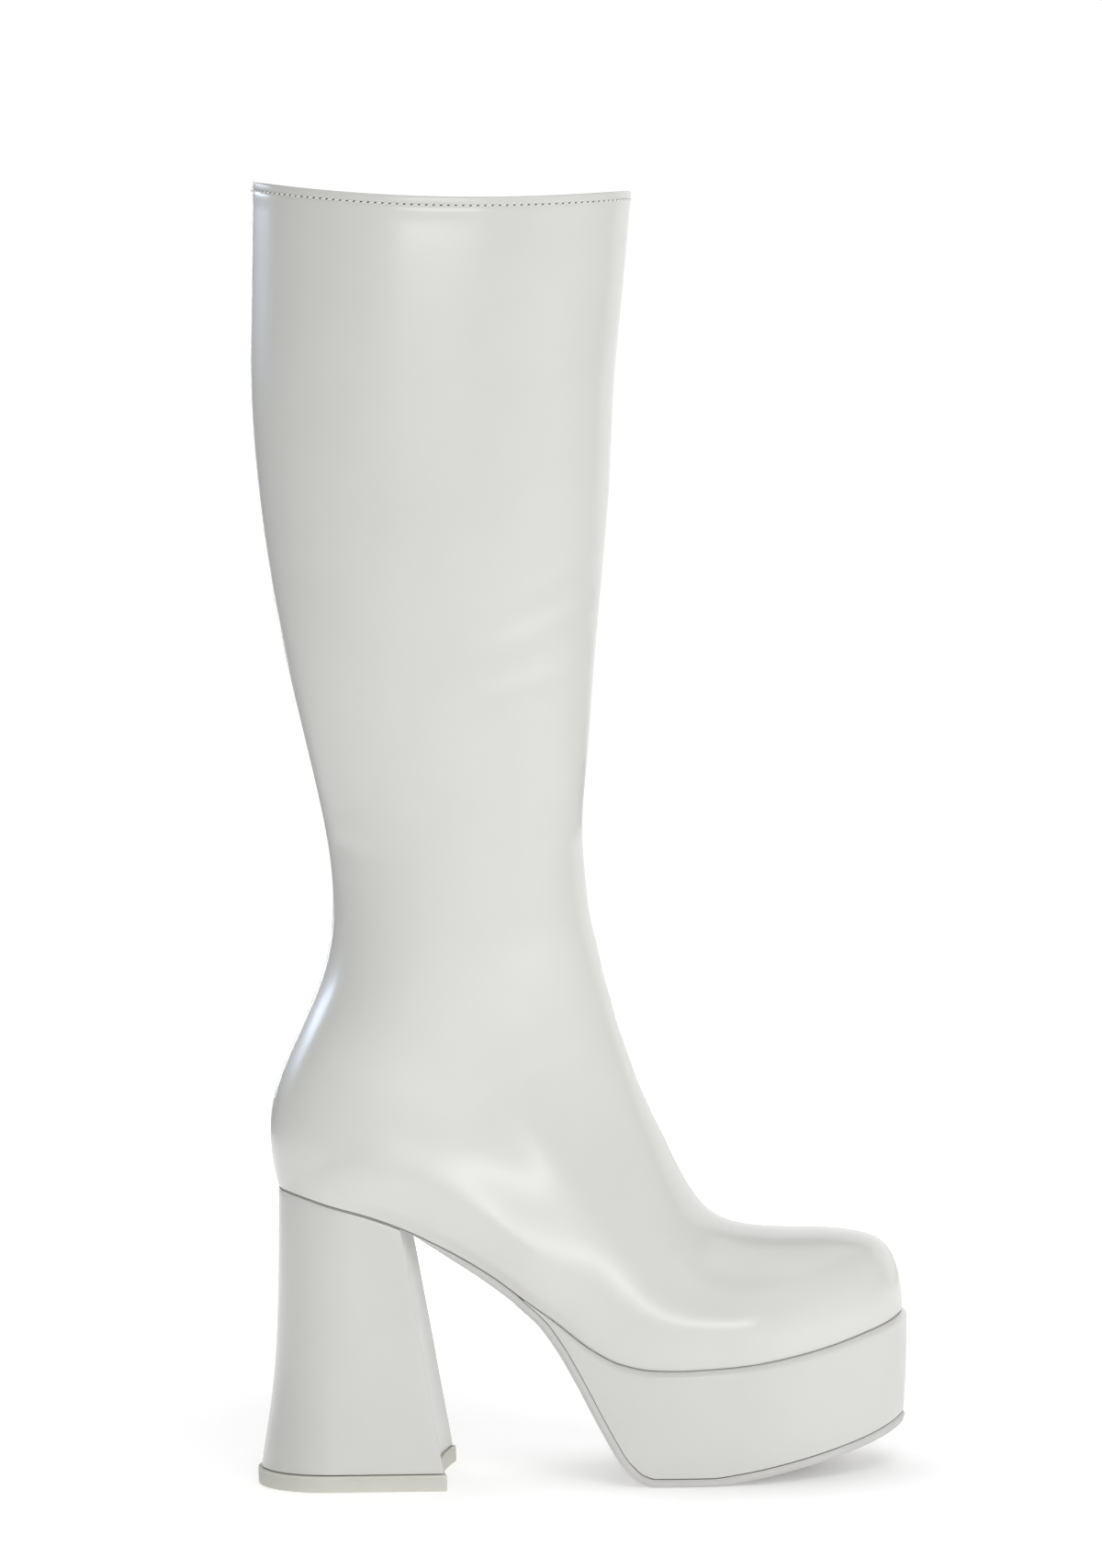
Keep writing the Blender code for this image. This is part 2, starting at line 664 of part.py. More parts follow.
def seat_side(share, outer):
    line = np.stack((PLACE, feather(PLACE, outer) - GAP), 1)[PLACE <= x_at(BREAST_STATION)]
    line[:, 1] = line[:, 1].clip(0)
    walked = path_length(line) / path_length(line)[-1]
    return np.stack((np.interp(share, walked, line[:, 0]), np.interp(share, walked, line[:, 1])), 1)


def breast_line(corner_x, half_outer, half_inner):
    # Hollow front of the heel from its outer corner to its inner one, its corners cut off.
    y = np.linspace(BREAST_CHAMFER - half_outer, half_inner - BREAST_CHAMFER, HEEL_BREAST_COLUMNS + 1)
    half = np.where(y < 0, half_outer, half_inner)
    return np.stack((corner_x - BREAST_HOLLOW * (1 - (y / half) ** 2), y), 1)


def d_loop(outer, inner):
    # Closed outline from its two sides, each from the middle of the back to its breast corner.
    breast = breast_line(outer[-1, 0] + BREAST_CHAMFER, outer[-1, 1], inner[-1, 1])
    mirrored = outer * (1, -1)
    return np.concatenate((mirrored, breast, inner[:0:-1]))


def d_caps(start):
    # Rungs across the sides, then a fan from each end of the last rung over the hollow breast.
    count = 2 * HEEL_SIDE_COLUMNS + 1 + HEEL_BREAST_COLUMNS + 1
    outer = HEEL_SIDE_COLUMNS - 1
    inner = count - outer
    middle = (outer + inner) // 2
    faces = [(0, 1, count - 1)]
    faces += [(i, i + 1, count - i - 1, count - i) for i in range(1, outer)]
    faces += [(outer, i, i + 1) for i in range(outer + 1, middle)]
    faces.append((outer, middle, inner))
    faces += [(inner, i, i + 1) for i in range(middle, inner - 1)]
    return [tuple(start + i for i in face) for face in faces]


def stacked_d(name, rings, finish, parent):
    count = len(rings[0])
    caps = [face[::-1] for face in d_caps(0)] + d_caps((len(rings) - 1) * count)
    return solid(name, np.concatenate(rings), wall_faces(len(rings), count) + caps, finish, parent)


def side_shares(total):
    # Even steps from the middle of the back to just short of the breast corner.
    return np.linspace(0, 1 - BREAST_CHAMFER / total, HEEL_SIDE_COLUMNS + 1)


def make_heel(finish, parent):
    shares = side_shares(TREAD_BACK + TREAD_BREAST)
    tread = tread_side(shares)
    tread_loop = d_loop(tread, tread)
    seat_loop = d_loop(seat_side(shares, True), seat_side(shares, False))
    top = seat_height(seat_loop[:, 0])
    foot = TIP_THICKNESS + GAP
    back_x, breast_x = seat_loop[:, 0].min(), seat_loop[:, 0].max()
    forward = ((seat_loop[:, 0] - back_x) / (breast_x - back_x - BREAST_HOLLOW)).clip(0, 1)
    rings = []
    for level in FLARE_LINE.level:
        z = foot + level * (top - foot)
        back = smooth(FLARE_LINE.level, FLARE_LINE.back, z / top)
        breast = smooth(FLARE_LINE.level, FLARE_LINE.breast, z / top)
        flare = (back + (breast - back) * forward)[:, None]
        rings.append(np.column_stack((seat_loop + (tread_loop - seat_loop) * flare, z)))
    return stacked_d("heel", rings, finish, parent)


def make_heel_tip(finish, parent):
    tread = tread_side(side_shares(TREAD_BACK + TREAD_BREAST))
    loop = d_loop(tread, tread)
    edge = loop + plan_normals(loop, True) * TIP_PROUD
    rings = [np.column_stack((edge, np.full(len(edge), z))) for z in (0, TIP_THICKNESS)]
    return stacked_d("heel_tip", rings, finish, parent)


def main():
    for old in list(bpy.data.objects):
        bpy.data.objects.remove(old, do_unlink=True)
    boot = bpy.data.objects.new("boot", None)
    bpy.context.collection.objects.link(boot)

    make_upper(material("upper_leather", (0.80, 0.80, 0.77), 0.35), boot)
    make_insole(material("sock_lining", (0.72, 0.70, 0.65), 0.85), boot)
    make_platform(material("platform_wrap", (0.78, 0.78, 0.75), 0.38), boot)
    make_outsole(material("outsole_rubber", (0.55, 0.55, 0.53), 0.60), boot)
    make_heel(material("heel_wrap", (0.78, 0.78, 0.75), 0.38), boot)
    make_heel_tip(material("tip_rubber", (0.50, 0.50, 0.47), 0.65), boot)


main()
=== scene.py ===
# A white go go boot for the right foot: leather upper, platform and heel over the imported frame.
import math

import bpy
import numpy as np
from mathutils import Matrix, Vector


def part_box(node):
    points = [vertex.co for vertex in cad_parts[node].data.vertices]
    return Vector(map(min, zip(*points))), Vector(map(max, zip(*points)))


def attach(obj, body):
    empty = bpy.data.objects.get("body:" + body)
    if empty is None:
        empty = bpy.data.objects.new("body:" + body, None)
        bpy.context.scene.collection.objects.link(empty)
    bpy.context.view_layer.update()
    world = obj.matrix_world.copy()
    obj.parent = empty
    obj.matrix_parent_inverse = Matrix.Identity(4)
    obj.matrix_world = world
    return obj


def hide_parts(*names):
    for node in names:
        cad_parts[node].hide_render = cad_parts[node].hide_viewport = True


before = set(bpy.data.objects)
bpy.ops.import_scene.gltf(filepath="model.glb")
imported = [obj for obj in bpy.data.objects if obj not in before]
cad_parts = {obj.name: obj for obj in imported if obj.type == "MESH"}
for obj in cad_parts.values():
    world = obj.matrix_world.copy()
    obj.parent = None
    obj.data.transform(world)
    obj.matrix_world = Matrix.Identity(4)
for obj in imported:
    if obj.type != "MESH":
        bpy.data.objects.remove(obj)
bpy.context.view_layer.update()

mm = 0.001
gap = 0.3 * mm  # between pieces that touch
joint = 0.08 * mm  # the same where leather is pressed on leather


# Curves and tables

def smoothCurve(knots, values, at):
    # Natural cubic spline: third-order pieces whose bend agrees at each knot and is nil at both ends.
    knots, values, at = (np.asarray(each, float) for each in (knots, values, at))
    step = np.diff(knots)
    slope = np.diff(values) / step
    inner = np.arange(1, len(knots) - 1)
    matrix = np.eye(len(knots))
    matrix[inner, inner - 1] = step[:-1]
    matrix[inner, inner] = 2 * (step[:-1] + step[1:])
    matrix[inner, inner + 1] = step[1:]
    right = np.zeros(len(knots))
    right[inner] = 6 * np.diff(slope)
    bend = np.linalg.solve(matrix, right)
    i = np.clip(np.searchsorted(knots, at) - 1, 0, len(step) - 1)
    low = (knots[i + 1] - at) / step[i]
    high = 1 - low
    curve = (low ** 3 - low) * bend[i] + (high ** 3 - high) * bend[i + 1]
    return low * values[i] + high * values[i + 1] + curve * step[i] ** 2 / 6


def steadyCurve(knots, values, at):
    # Cubic whose slope at a knot is the harmonic mean of its neighbours', or nil at a turn: no overshoot.
    knots, values = np.asarray(knots, float), np.asarray(values, float)
    at = np.clip(at, knots[0], knots[-1])
    step = np.diff(knots)
    slope = np.diff(values) / step
    product = slope[1:] * slope[:-1]
    total = np.where(product > 0, slope[1:] + slope[:-1], 1)
    tangent = np.concatenate((slope[:1], np.where(product > 0, 2 * product / total, 0), slope[-1:]))
    i = np.clip(np.searchsorted(knots, at) - 1, 0, len(step) - 1)
    t = (at - knots[i]) / step[i]
    start = values[i] * (1 + 2 * t) * (1 - t) ** 2 + tangent[i] * step[i] * t * (1 - t) ** 2
    end = values[i + 1] * t ** 2 * (3 - 2 * t) + tangent[i + 1] * step[i] * t ** 2 * (t - 1)
    return start + end


def softStep(value, start, end):
    # 0 before start, 1 after end, and 3t2 - 2t3 between them.
    t = np.clip((value - start) / (end - start), 0, 1)
    return t * t * (3 - 2 * t)


def roundedEdge(distance, radius):
    # How far a quarter round of that radius lies inside the surface, at a distance from its edge.
    left = np.clip(radius - distance, 0, radius)
    return radius - np.sqrt(radius ** 2 - left ** 2)


def pathLength(points, axis=0):
    # Length walked along the points of each row or column, from 0.
    steps = np.linalg.norm(np.diff(points, axis=axis), axis=-1)
    return np.concatenate((np.zeros_like(steps.take([0], axis)), np.cumsum(steps, axis=axis)), axis)


# The last: the form that the boot is made on

last = {
    "length": 0.2236,
    "ballWidth": 0.083,
    "seatWidth": 0.0545,
    "heelHeight": 0.108,
    "ballHeight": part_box("upper")[0][2],
    "toeSpring": 0.0144,
    "toeBox": 0.0375,
    "toeSwing": 0.0035,
    "swingStart": 0.42,
    "roundOuter": 0.060,
    "roundInner": 0.052,
    "powerOuter": 2.0,
    "powerInner": 2.3,
    "heelBack": -0.0244,
}

# Bottom line: station along the last, share of the heel's lift, share of the toe spring.
bottomTable = {
    "station": (0, .03, .09, .15, .20, .25, .30, .35, .40, .45, .50, .55, .60, .64, .70, .76, .82, .88, .94,
                .98, 1),
    "heel": (1, .980, .920, .860, .796, .715, .622, .513, .382, .258, .124, .037, .004) + (0,) * 8,
    "spring": (0,) * 14 + (.03, .10, .24, .43, .68, .86, 1),
}

# Plan: share of the way from the seat's half width to the ball's, on each side.
planTable = {
    "station": (0, .12, .20, .30, .40, .50, .60, .68, .76, .84, 1),
    "outer": (0, 0, .04, .11, .25, .53, .83, .95, .95, .91, .90),
    "inner": (0, 0, -.05, -.19, -.25, .02, .58, 1.00, 1.12, 1.12, 1.10),
}


def placeAt(station):
    return last["heelBack"] + station * last["length"]


def stationAt(x):
    return (x - last["heelBack"]) / last["length"]


def fromTable(table, column, x):
    return steadyCurve(table["station"], table[column], stationAt(x))


def bottomHeight(x):
    # Ball height, plus the heel's lift over it and the toe spring by their shares.
    lift = fromTable(bottomTable, "heel", x) * (last["heelHeight"] - last["ballHeight"])
    return last["ballHeight"] + lift + fromTable(bottomTable, "spring", x) * last["toeSpring"]


def centreLine(x):
    # Straight to the instep, then a parabola to the inner side.
    start = placeAt(last["swingStart"])
    return last["toeSwing"] * (np.clip(x - start, 0, None) / (placeAt(1) - start)) ** 2


def halfWidth(share):
    return (last["seatWidth"] + share * (last["ballWidth"] - last["seatWidth"])) / 2


def roundedEnd(distance, length, power):
    # Superellipse: 0 at the end, 1 at the length.
    left = np.clip(1 - distance / length, 0, 1)
    return np.clip(1 - left ** power, 0, 1) ** (1 / power)


def toeRound(x, side):
    return roundedEnd(placeAt(1) - x, last["round" + side], last["power" + side])


def feather(x, side):
    # Half width of the last's bottom on the side Outer or Inner.
    body = halfWidth(smoothCurve(planTable["station"], planTable[side.lower()], stationAt(x)))
    return body * roundedEnd(x - placeAt(0), last["seatWidth"] / 2, 2.0) * toeRound(x, side)


places = placeAt((1 - np.cos(np.linspace(0, math.pi, 1601))) / 2)
walked = sum(
    pathLength(np.stack((places, centreLine(places) + turn * feather(places, side)), 1))
    for turn, side in ((-1, "Outer"), (1, "Inner"))
) / 2
print("last ready, feather edge", round(walked[-1] / mm), "mm")


# Meshes

def quadFaces(index, wrap=False):
    # Corners of the faces between neighbouring rows and columns of an index grid.
    if wrap:
        index = np.concatenate((index, index[:, :1]), 1)
    return np.stack((index[:-1, :-1], index[1:, :-1], index[1:, 1:], index[:-1, 1:]), -1).reshape(-1, 4)


def cleanFaces(quads):
    # Drops a corner that repeats its neighbour, and faces with fewer than three.
    same = quads == np.roll(quads, -1, axis=1)
    whole = quads[~same.any(1)].tolist()
    cut = [list(dict.fromkeys(face)) for face in quads[same.any(1)].tolist()]
    return whole + [face for face in cut if len(face) > 2]


def pointNormals(points, quads):
    # Unit sum of the cross products of the diagonals of the faces round each point.
    corners = points[quads]
    cross = np.cross(corners[:, 2] - corners[:, 0], corners[:, 3] - corners[:, 1])
    total = np.zeros_like(points)
    for corner in range(4):
        np.add.at(total, quads[:, corner], cross)
    length = np.linalg.norm(total, axis=1, keepdims=True)
    return total / np.where(length > 0, length, 1)


def addPiece(name, points, faces, finish, node=None):
    # A smooth mesh at the origin that rides on the boot, in place of a node where one is named.
    points = np.asarray(points)
    used = np.unique(np.concatenate([np.ravel(face) for face in faces]))
    renumber = np.full(len(points), -1)
    renumber[used] = np.arange(len(used))
    mesh = bpy.data.meshes.new(name)
    mesh.from_pydata(points[used].tolist(), [], [renumber[face].tolist() for face in faces])
    mesh.materials.append(finish)
    mesh.shade_smooth()
    piece = bpy.data.objects.new(name, mesh)
    bpy.context.collection.objects.link(piece)
    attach(piece, "root")
    if node:
        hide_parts(node)
    print(name, len(mesh.polygons), "faces")
    return piece


# Materials

def linearColour(code):
    # sRGB hex to linear: a twelfth below 0.04045, a power of 2.4 above it.
    value = np.array([int(code[i:i + 2], 16) for i in (1, 3, 5)]) / 255
    linear = np.where(value <= 0.04045, value / 12.92, ((value + 0.055) / 1.055) ** 2.4)
    return (*linear.tolist(), 1.0)


def perMetre(size):
    # Texture scale whose pattern repeats about every size millimetres.
    return 1 / (size * mm)


def bandsPerMetre(size):
    # The same for a wave texture, whose bands repeat every tenth of pi at a scale of 1.
    return perMetre(size) * math.pi / 10


def setInputs(tree, node, inputs):
    # An input is a plain value, or a link given as [node, output].
    for name, value in inputs.items():
        if isinstance(value, list):
            tree.links.new(value[0].outputs[value[1]], node.inputs[name])
        else:
            node.inputs[name].default_value = value


def addNode(tree, kind, settings, inputs):
    node = tree.nodes.new(kind)
    for name, value in settings.items():
        setattr(node, name, value)
    setInputs(tree, node, inputs)
    return node


def newMaterial(name):
    # A Principled material, with its node and its object coordinates.
    made = bpy.data.materials.new(name)
    made.use_nodes = True
    tree = made.node_tree
    return made, tree, tree.nodes["Principled BSDF"], [tree.nodes.new("ShaderNodeTexCoord"), "Object"]


def noise(tree, where, size, detail):
    return addNode(tree, "ShaderNodeTexNoise", {}, {
        "Vector": where, "Scale": perMetre(size), "Detail": detail})


def twoTones(tree, patches, colour, shade):
    # Colour and shade mixed by a noise's patches.
    tone = addNode(tree, "ShaderNodeMix", {"data_type": "RGBA"}, {
        0: [patches, "Fac"], 6: linearColour(colour), 7: linearColour(shade)})
    return [tone, 2]


def bump(tree, height, strength, depth, **under):
    # Relief of depth millimetres, over another one's Normal where it is given.
    relief = addNode(tree, "ShaderNodeBump", {}, {
        "Height": height, "Strength": strength, "Distance": depth * mm, **under})
    return [relief, "Normal"]


leather = {
    "colour": "#E0E0DD",
    "shade": "#DADAD6",
    "roughness": (0.36, 0.46),
    "coat": 0.6,
    "coatRoughness": 0.20,
    "grain": 0.7,  # real grain is about 0.3 mm, drawn coarser to show
    "grainDepth": 0.012,
    "waves": 26.0,
    "waveDepth": 0.10,
}


def coatedLeather(name, settings):
    # Calf leather under a sprayed polyurethane coat: even white, satin gloss, a hardly visible grain, and
    # soft waves that break up its reflections.
    made, tree, shader, where = newMaterial(name)
    patches = noise(tree, where, 30, 2.0)
    gloss = addNode(tree, "ShaderNodeMapRange", {}, {
        "Value": [patches, "Fac"], "To Min": settings["roughness"][0], "To Max": settings["roughness"][1]})
    cells = addNode(tree, "ShaderNodeTexVoronoi", {"feature": "F1"}, {
        "Vector": where, "Scale": perMetre(settings["grain"])})
    grain = bump(tree, [cells, "Distance"], 0.35, settings["grainDepth"])
    waves = noise(tree, where, settings["waves"], 1.0)
    setInputs(tree, shader, {
        "Base Color": twoTones(tree, patches, settings["colour"], settings["shade"]),
        "Roughness": [gloss, "Result"],
        "Normal": bump(tree, [waves, "Fac"], 0.5, settings["waveDepth"], Normal=grain),
        "Coat Weight": settings["coat"],
        "Coat Roughness": settings["coatRoughness"],
        "IOR": 1.5,
    })
    return made


def mouldedRubber(name, colour, shade, grit):
    # Thermoplastic rubber from a spark-eroded mould: matt, with a fine even grit.
    made, tree, shader, where = newMaterial(name)
    setInputs(tree, shader, {
        "Base Color": twoTones(tree, noise(tree, where, 9, 3.0), colour, shade),
        "Normal": bump(tree, [noise(tree, where, grit, 2.0), "Fac"], 0.5, 0.05),
        "Roughness": 0.62,
        "IOR": 1.52,
    })
    return made


def knittedLining(name, colour, shade, thread):
    # Brushed polyester tricot: off-white, matt, with a soft sheen over fine wales. Real wales are about
    # 0.8 mm apart, drawn coarser to show.
    made, tree, shader, where = newMaterial(name)
    wales = addNode(tree, "ShaderNodeTexWave", {"wave_type": "BANDS", "bands_direction": "DIAGONAL"}, {
        "Vector": where, "Scale": bandsPerMetre(thread), "Distortion": 1.5, "Detail": 2.0,
        "Detail Scale": 2.0})
    setInputs(tree, shader, {
        "Base Color": twoTones(tree, noise(tree, where, 1.2, 4.0), colour, shade),
        "Normal": bump(tree, [wales, "Fac"], 0.4, 0.15),
        "Roughness": 0.9,
        "Sheen Weight": 0.25,
        "Sheen Roughness": 0.5,
    })
    return made


def sewingThread(name, colour, twist):
    # Bonded polyester thread: a tight twist with a slight gloss.
    made, tree, shader, where = newMaterial(name)
    turns = addNode(tree, "ShaderNodeTexWave", {"bands_direction": "DIAGONAL"}, {
        "Vector": where, "Scale": bandsPerMetre(twist)})
    setInputs(tree, shader, {
        "Base Color": linearColour(colour),
        "Normal": bump(tree, [turns, "Fac"], 0.5, 0.05),
        "Roughness": 0.5,
    })
    return made


def plainDark(name, colour):
    made, tree, shader, where = newMaterial(name)
    setInputs(tree, shader, {"Base Color": linearColour(colour), "Roughness": 0.8})
    return made


upperLeather = coatedLeather("upperLeather", leather)
# The upper's leather on the platform and heel, a little darker as painted shade, with softer waves.
wrapLeatherPaintedShade = coatedLeather("wrapLeatherPaintedShade", {
    **leather, "colour": "#DBDBD8", "shade": "#D5D5D1", "waveDepth": 0.04})
soleRubber = mouldedRubber("soleRubber", "#D6D5D3", "#CDCCCA", 0.8)
tipRubber = mouldedRubber("tipRubber", "#DAD9D1", "#D1D0C7", 0.6)
liningKnit = knittedLining("liningKnit", "#E9E5DB", "#DEDACF", 1.6)
stitchThread = sewingThread("stitchThread", "#F4F3EE", 0.5)
# Painted shade: a dark colour for the shaded inside of the needle holes.
needleShade = plainDark("needleHoleShadePainted", "#4E4C46")


# Upper

upper = {
    "height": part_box("upper")[1][2],
    "ankleHeight": 0.219,
    "ankleLength": 0.0905,
    "ankleWidth": 0.069,
    "collarLength": 0.136,
    "collarWidth": 0.090,
    "collarDip": 0.004,
    "dipReach": 0.040,
    "axisFromBack": 0.0694,
    "leatherWall": 0.0014,
    "wholeWall": 0.002,
    "rollRadius": 0.0005,
    "grid": (150, 100, 18, 136),  # rows of the leg, the foot and the toe, and columns
    "collarZone": 0.006,
    "collarRows": 18,
    "toeZone": 0.016,
    "toeCrowd": 1.7,
    "frontCrowd": 0.72,
    "reliefFade": 0.020,
}

# Leg sections from the collar to the ankle, and sections that fan round the heel and over the foot, as in
# the construction: heights and half sizes as shares of the upper's and the last's sizes.
legTable = {
    "upBack": (1.000, .844, .704, .564, .424, .284, .124, -.034),
    "upFront": (.970, .844, .704, .564, .424, .290, .150, .036),
    "back": (.938, 1.018, 1.075, 1.009, .850, .587, .226, .037),
    "front": (1.035, .880, .680, .565, .400, .226, .065, -.037),
    "side": (1.00, .97, .88, .74, .56, .34, .10, .00),
    "squareLow": (2.20,) * 7 + (2.22,),
}
fanTable = {
    "station": (.083, .033, -.003, -.008, 0, .064, .132, .221, .333, .445, .543, .623, .691, .758, .825, .892,
                .936, .963, .981, .993, 1),
    "up": (.742, .507, .293, .117),
    "front": (.5150, .5245, .5350, .5430, .5495, .5600, .5700, .5825, .6000, .6235, .6525, .6885, .7285,
              .7780, .8380, .9010, .9525, .9770, .9905, .9985, 1),
    "box": (1.42,) * 12 + (1.26, 1.17, 1.085, .973, .819, .675, .500, .293, 0),
    "climb": (.818, .739, .651, .601, .554, .493, .442, .379, .303, .213, .098) + (0,) * 10,
    "outer": (.50, .50, .50, .50, .50, .50, .51, .54, .62, .76, .90, 1.01, 1.04, 1.04, 1.02, 1.00, .98, .97,
              .96, .95, .95),
    "inner": (.49, .48, .47, .46, .45, .44, .43, .43, .48, .66, .94, 1.14, 1.21, 1.22, 1.21, 1.20, 1.19, 1.18,
              1.17, 1.16, 1.16),
    "widest": (.500, .490, .475, .463, .460, .395, .340, .285, .240, .225, .215, .205, .200, .190, .180, .170,
               .160, .150, .150, .150, .150),
    "squareLow": (2.20,) * 7 + (2.15, 2.10, 2.05) + (2.00,) * 11,
    "squareHigh": (2.12, 2.08, 2.05, 2.03, 2.02, 2.00, 2.00, 1.98, 1.97, 1.97, 1.98, 2.02, 2.08, 2.16, 2.26,
                   2.36, 2.42, 2.45, 2.45, 2.45, 2.45),
}

# Soft creases in side view: both ends in millimetres, the side, depth, and width. Side -1 is the outer one.
creases = (
    ((70, 318), (96, 332), -1, 0.30, 5.0),
    ((62, 300), (95, 314), -1, 0.35, 5.5),
    ((58, 284), (90, 292), -1, 0.22, 5.0),
    ((66, 296), (95, 306), 1, 0.30, 5.0),
    ((78, 222), (92, 236), -1, 0.25, 5.0),
    ((78, 220), (92, 232), 1, 0.25, 5.0),
    ((2, 232), (16, 226), -1, 0.20, 6.0),
    ((2, 234), (16, 226), 1, 0.20, 6.0),
)
creaseFade = {"ends": (0.3, 0.7), "turn": (-0.004, 0.010)}


def sectionRows():
    # Named values of every section, and the way walked down the back line and along the feather edge.
    leg = {name: np.array(values) for name, values in legTable.items()}
    fan = {name: np.array(values, float) for name, values in fanTable.items()}
    axis = placeAt(0) + upper["axisFromBack"]
    grow = (upper["collarLength"] - upper["ankleLength"]) / 2
    legBack = axis - upper["ankleLength"] / 2 - leg["back"] * grow
    legFront = axis + upper["ankleLength"] / 2 + leg["front"] * grow
    legHalf = upper["ankleWidth"] / 2 + leg["side"] * (upper["collarWidth"] - upper["ankleWidth"]) / 2
    rise = upper["height"] - upper["ankleHeight"]
    legBackZ = upper["ankleHeight"] + leg["upBack"] * rise
    legFrontZ = upper["ankleHeight"] + leg["upFront"] * rise
    vamp = last["toeBox"] * fan["box"]
    climb = legFrontZ[-1] - bottomHeight(legFront[-1]) - vamp[0]
    frontX = placeAt(fan["front"])
    lowX = placeAt(fan["station"])
    lowZ = bottomHeight(lowX)
    heelRows = len(fan["up"])
    lowZ[:heelRows] = last["heelHeight"] + fan["up"] * (legBackZ[-1] - last["heelHeight"])
    closed = len(legBack) + heelRows + 1
    back = np.stack((np.concatenate((legBack, lowX)), np.concatenate((legBackZ, lowZ))), 1)[:closed]
    down = pathLength(back)
    same = np.full(len(legBack), 0.5)
    return back, {
        "walk": np.concatenate((down - down[-1], np.interp(lowX[heelRows + 1:], places, walked))),
        "frontX": np.concatenate((legFront, frontX)),
        "frontZ": np.concatenate((legFrontZ, bottomHeight(frontX) + vamp + climb * fan["climb"])),
        "Outer": np.concatenate((legHalf, halfWidth(fan["outer"]))),
        "Inner": np.concatenate((legHalf, halfWidth(fan["inner"]))),
        "widest": np.concatenate((same, fan["widest"])),
        "squareLow": np.concatenate((leg["squareLow"], fan["squareLow"])),
        "squareHigh": np.concatenate((np.full(len(legBack), 2.15), fan["squareHigh"])),
    }


def halfSections(length, widest, foot, half, squareLow, squareHigh, shares):
    # Superellipse arcs in each row's plane: from the feather edge's half width out to the widest place, and
    # on to nil at the upper end, read at shares of the arc's length. Returns along and out by row.
    turn = np.linspace(0, math.pi, 241)
    along = length[:, None] * (1 - np.cos(turn)) / 2
    peak = (widest * length)[:, None]
    start = np.minimum(foot / half, 0.999)
    reach = peak / ((1 - start ** squareLow) ** (1 / squareLow))[:, None]
    squareLow, squareHigh = squareLow[:, None], squareHigh[:, None]
    low = 1 - (np.clip(peak - along, 0, None) / reach) ** squareLow
    high = 1 - (np.clip(along - peak, 0, None) / (length[:, None] - peak)) ** squareHigh
    out = half[:, None] * low.clip(0) ** (1 / squareLow) * high.clip(0) ** (1 / squareHigh)
    way = pathLength(np.stack((along, out), -1), 1)
    rows = [(np.interp(shares * w[-1], w, a), np.interp(shares * w[-1], w, o))
            for w, a, o in zip(way, along, out)]
    return np.array([row[0] for row in rows]), np.array([row[1] for row in rows])


def upperGrid(legRows, footRows, toeRows, columns):
    # Outside of the upper by walk and by share of each section's arc: rows crowd at the collar and the toe,
    # columns at the feather edge.
    back, rows = sectionRows()
    top, end = rows["walk"][0], walked[-1]
    tail = end - upper["toeZone"]
    closedWalk = np.concatenate((
        np.linspace(top, top + upper["collarZone"], upper["collarRows"])[:-1],
        np.linspace(top + upper["collarZone"], 0, legRows)))
    nose = end - upper["toeZone"] * (1 - np.linspace(0, 1, toeRows + 1)) ** upper["toeCrowd"]
    walk = np.concatenate((closedWalk, np.linspace(0, tail, footRows)[1:-1], nose[:-1]))
    closed = len(closedWalk)
    even = np.linspace(0, 1, columns // 2 + 1)
    shares = even - upper["frontCrowd"] * np.sin(math.pi * even) * (1 - even) ** 2 / math.pi
    footPlace = np.interp(walk[closed:], walked, places)
    backWalk = rows["walk"][:len(back)]
    lowX = np.concatenate((smoothCurve(backWalk, back[:, 0], closedWalk), footPlace))
    lowZ = np.concatenate((smoothCurve(backWalk, back[:, 1], closedWalk), bottomHeight(footPlace)))
    shape = {name: smoothCurve(rows["walk"], values, walk) for name, values in rows.items()}
    across = np.stack((shape["frontX"] - lowX, shape["frontZ"] - lowZ), 1)
    length = np.linalg.norm(across, axis=1)
    sides = []
    for turn, side in ((-1, "Outer"), (1, "Inner")):
        foot = np.where(np.arange(len(walk)) < closed, 0, feather(lowX, side))
        half = shape[side] * np.where(np.arange(len(walk)) < closed, 1, toeRound(lowX, side))
        along, out = halfSections(length, shape["widest"], foot, half, shape["squareLow"],
                                  shape["squareHigh"], shares)
        part = along / length[:, None]
        x = lowX[:, None] + across[:, :1] * part
        z = lowZ[:, None] + across[:, 1:] * part
        fade = np.clip(1 - (walk - top) / upper["dipReach"], 0, 1)[:, None] ** 2
        z = z - 4 * upper["collarDip"] * part * (1 - part) * fade
        sides.append(np.stack((x, centreLine(x) + turn * out, z), -1))
    grid = np.concatenate((sides[0], sides[1][:, -2::-1]), 1)
    tip = np.array((placeAt(1), centreLine(placeAt(1)), bottomHeight(placeAt(1))))
    grid = np.concatenate((grid, np.broadcast_to(tip, (1, grid.shape[1], 3))))
    index = np.arange(grid.shape[0] * grid.shape[1]).reshape(grid.shape[:2])
    index[:closed, -1] = index[:closed, 0]
    index[-1] = index[-1, 0]
    return grid, index, closed


def creaseRelief(points):
    # For each crease, -depth (1 - 1.3 s2) exp(-s2), s being the distance from its line over its width, and
    # fading out where the surface turns to the other side.
    total = np.zeros(points.shape[:-1])
    view = points[..., (0, 2)]
    for start, end, side, depth, width in creases:
        start, end = np.array(start) * mm, np.array(end) * mm
        line = end - start
        t = np.clip(((view - start) @ line) / (line @ line), -0.2, 1.2)
        s = np.linalg.norm(view - start - t[..., None] * line, axis=-1) / (width * mm)
        ends = 1 - softStep(np.abs(t - 0.5), *creaseFade["ends"])
        facing = softStep(side * points[..., 1], *creaseFade["turn"])
        total -= depth * mm * (1 - 1.3 * s ** 2) * np.exp(-s ** 2) * ends * facing
    return total


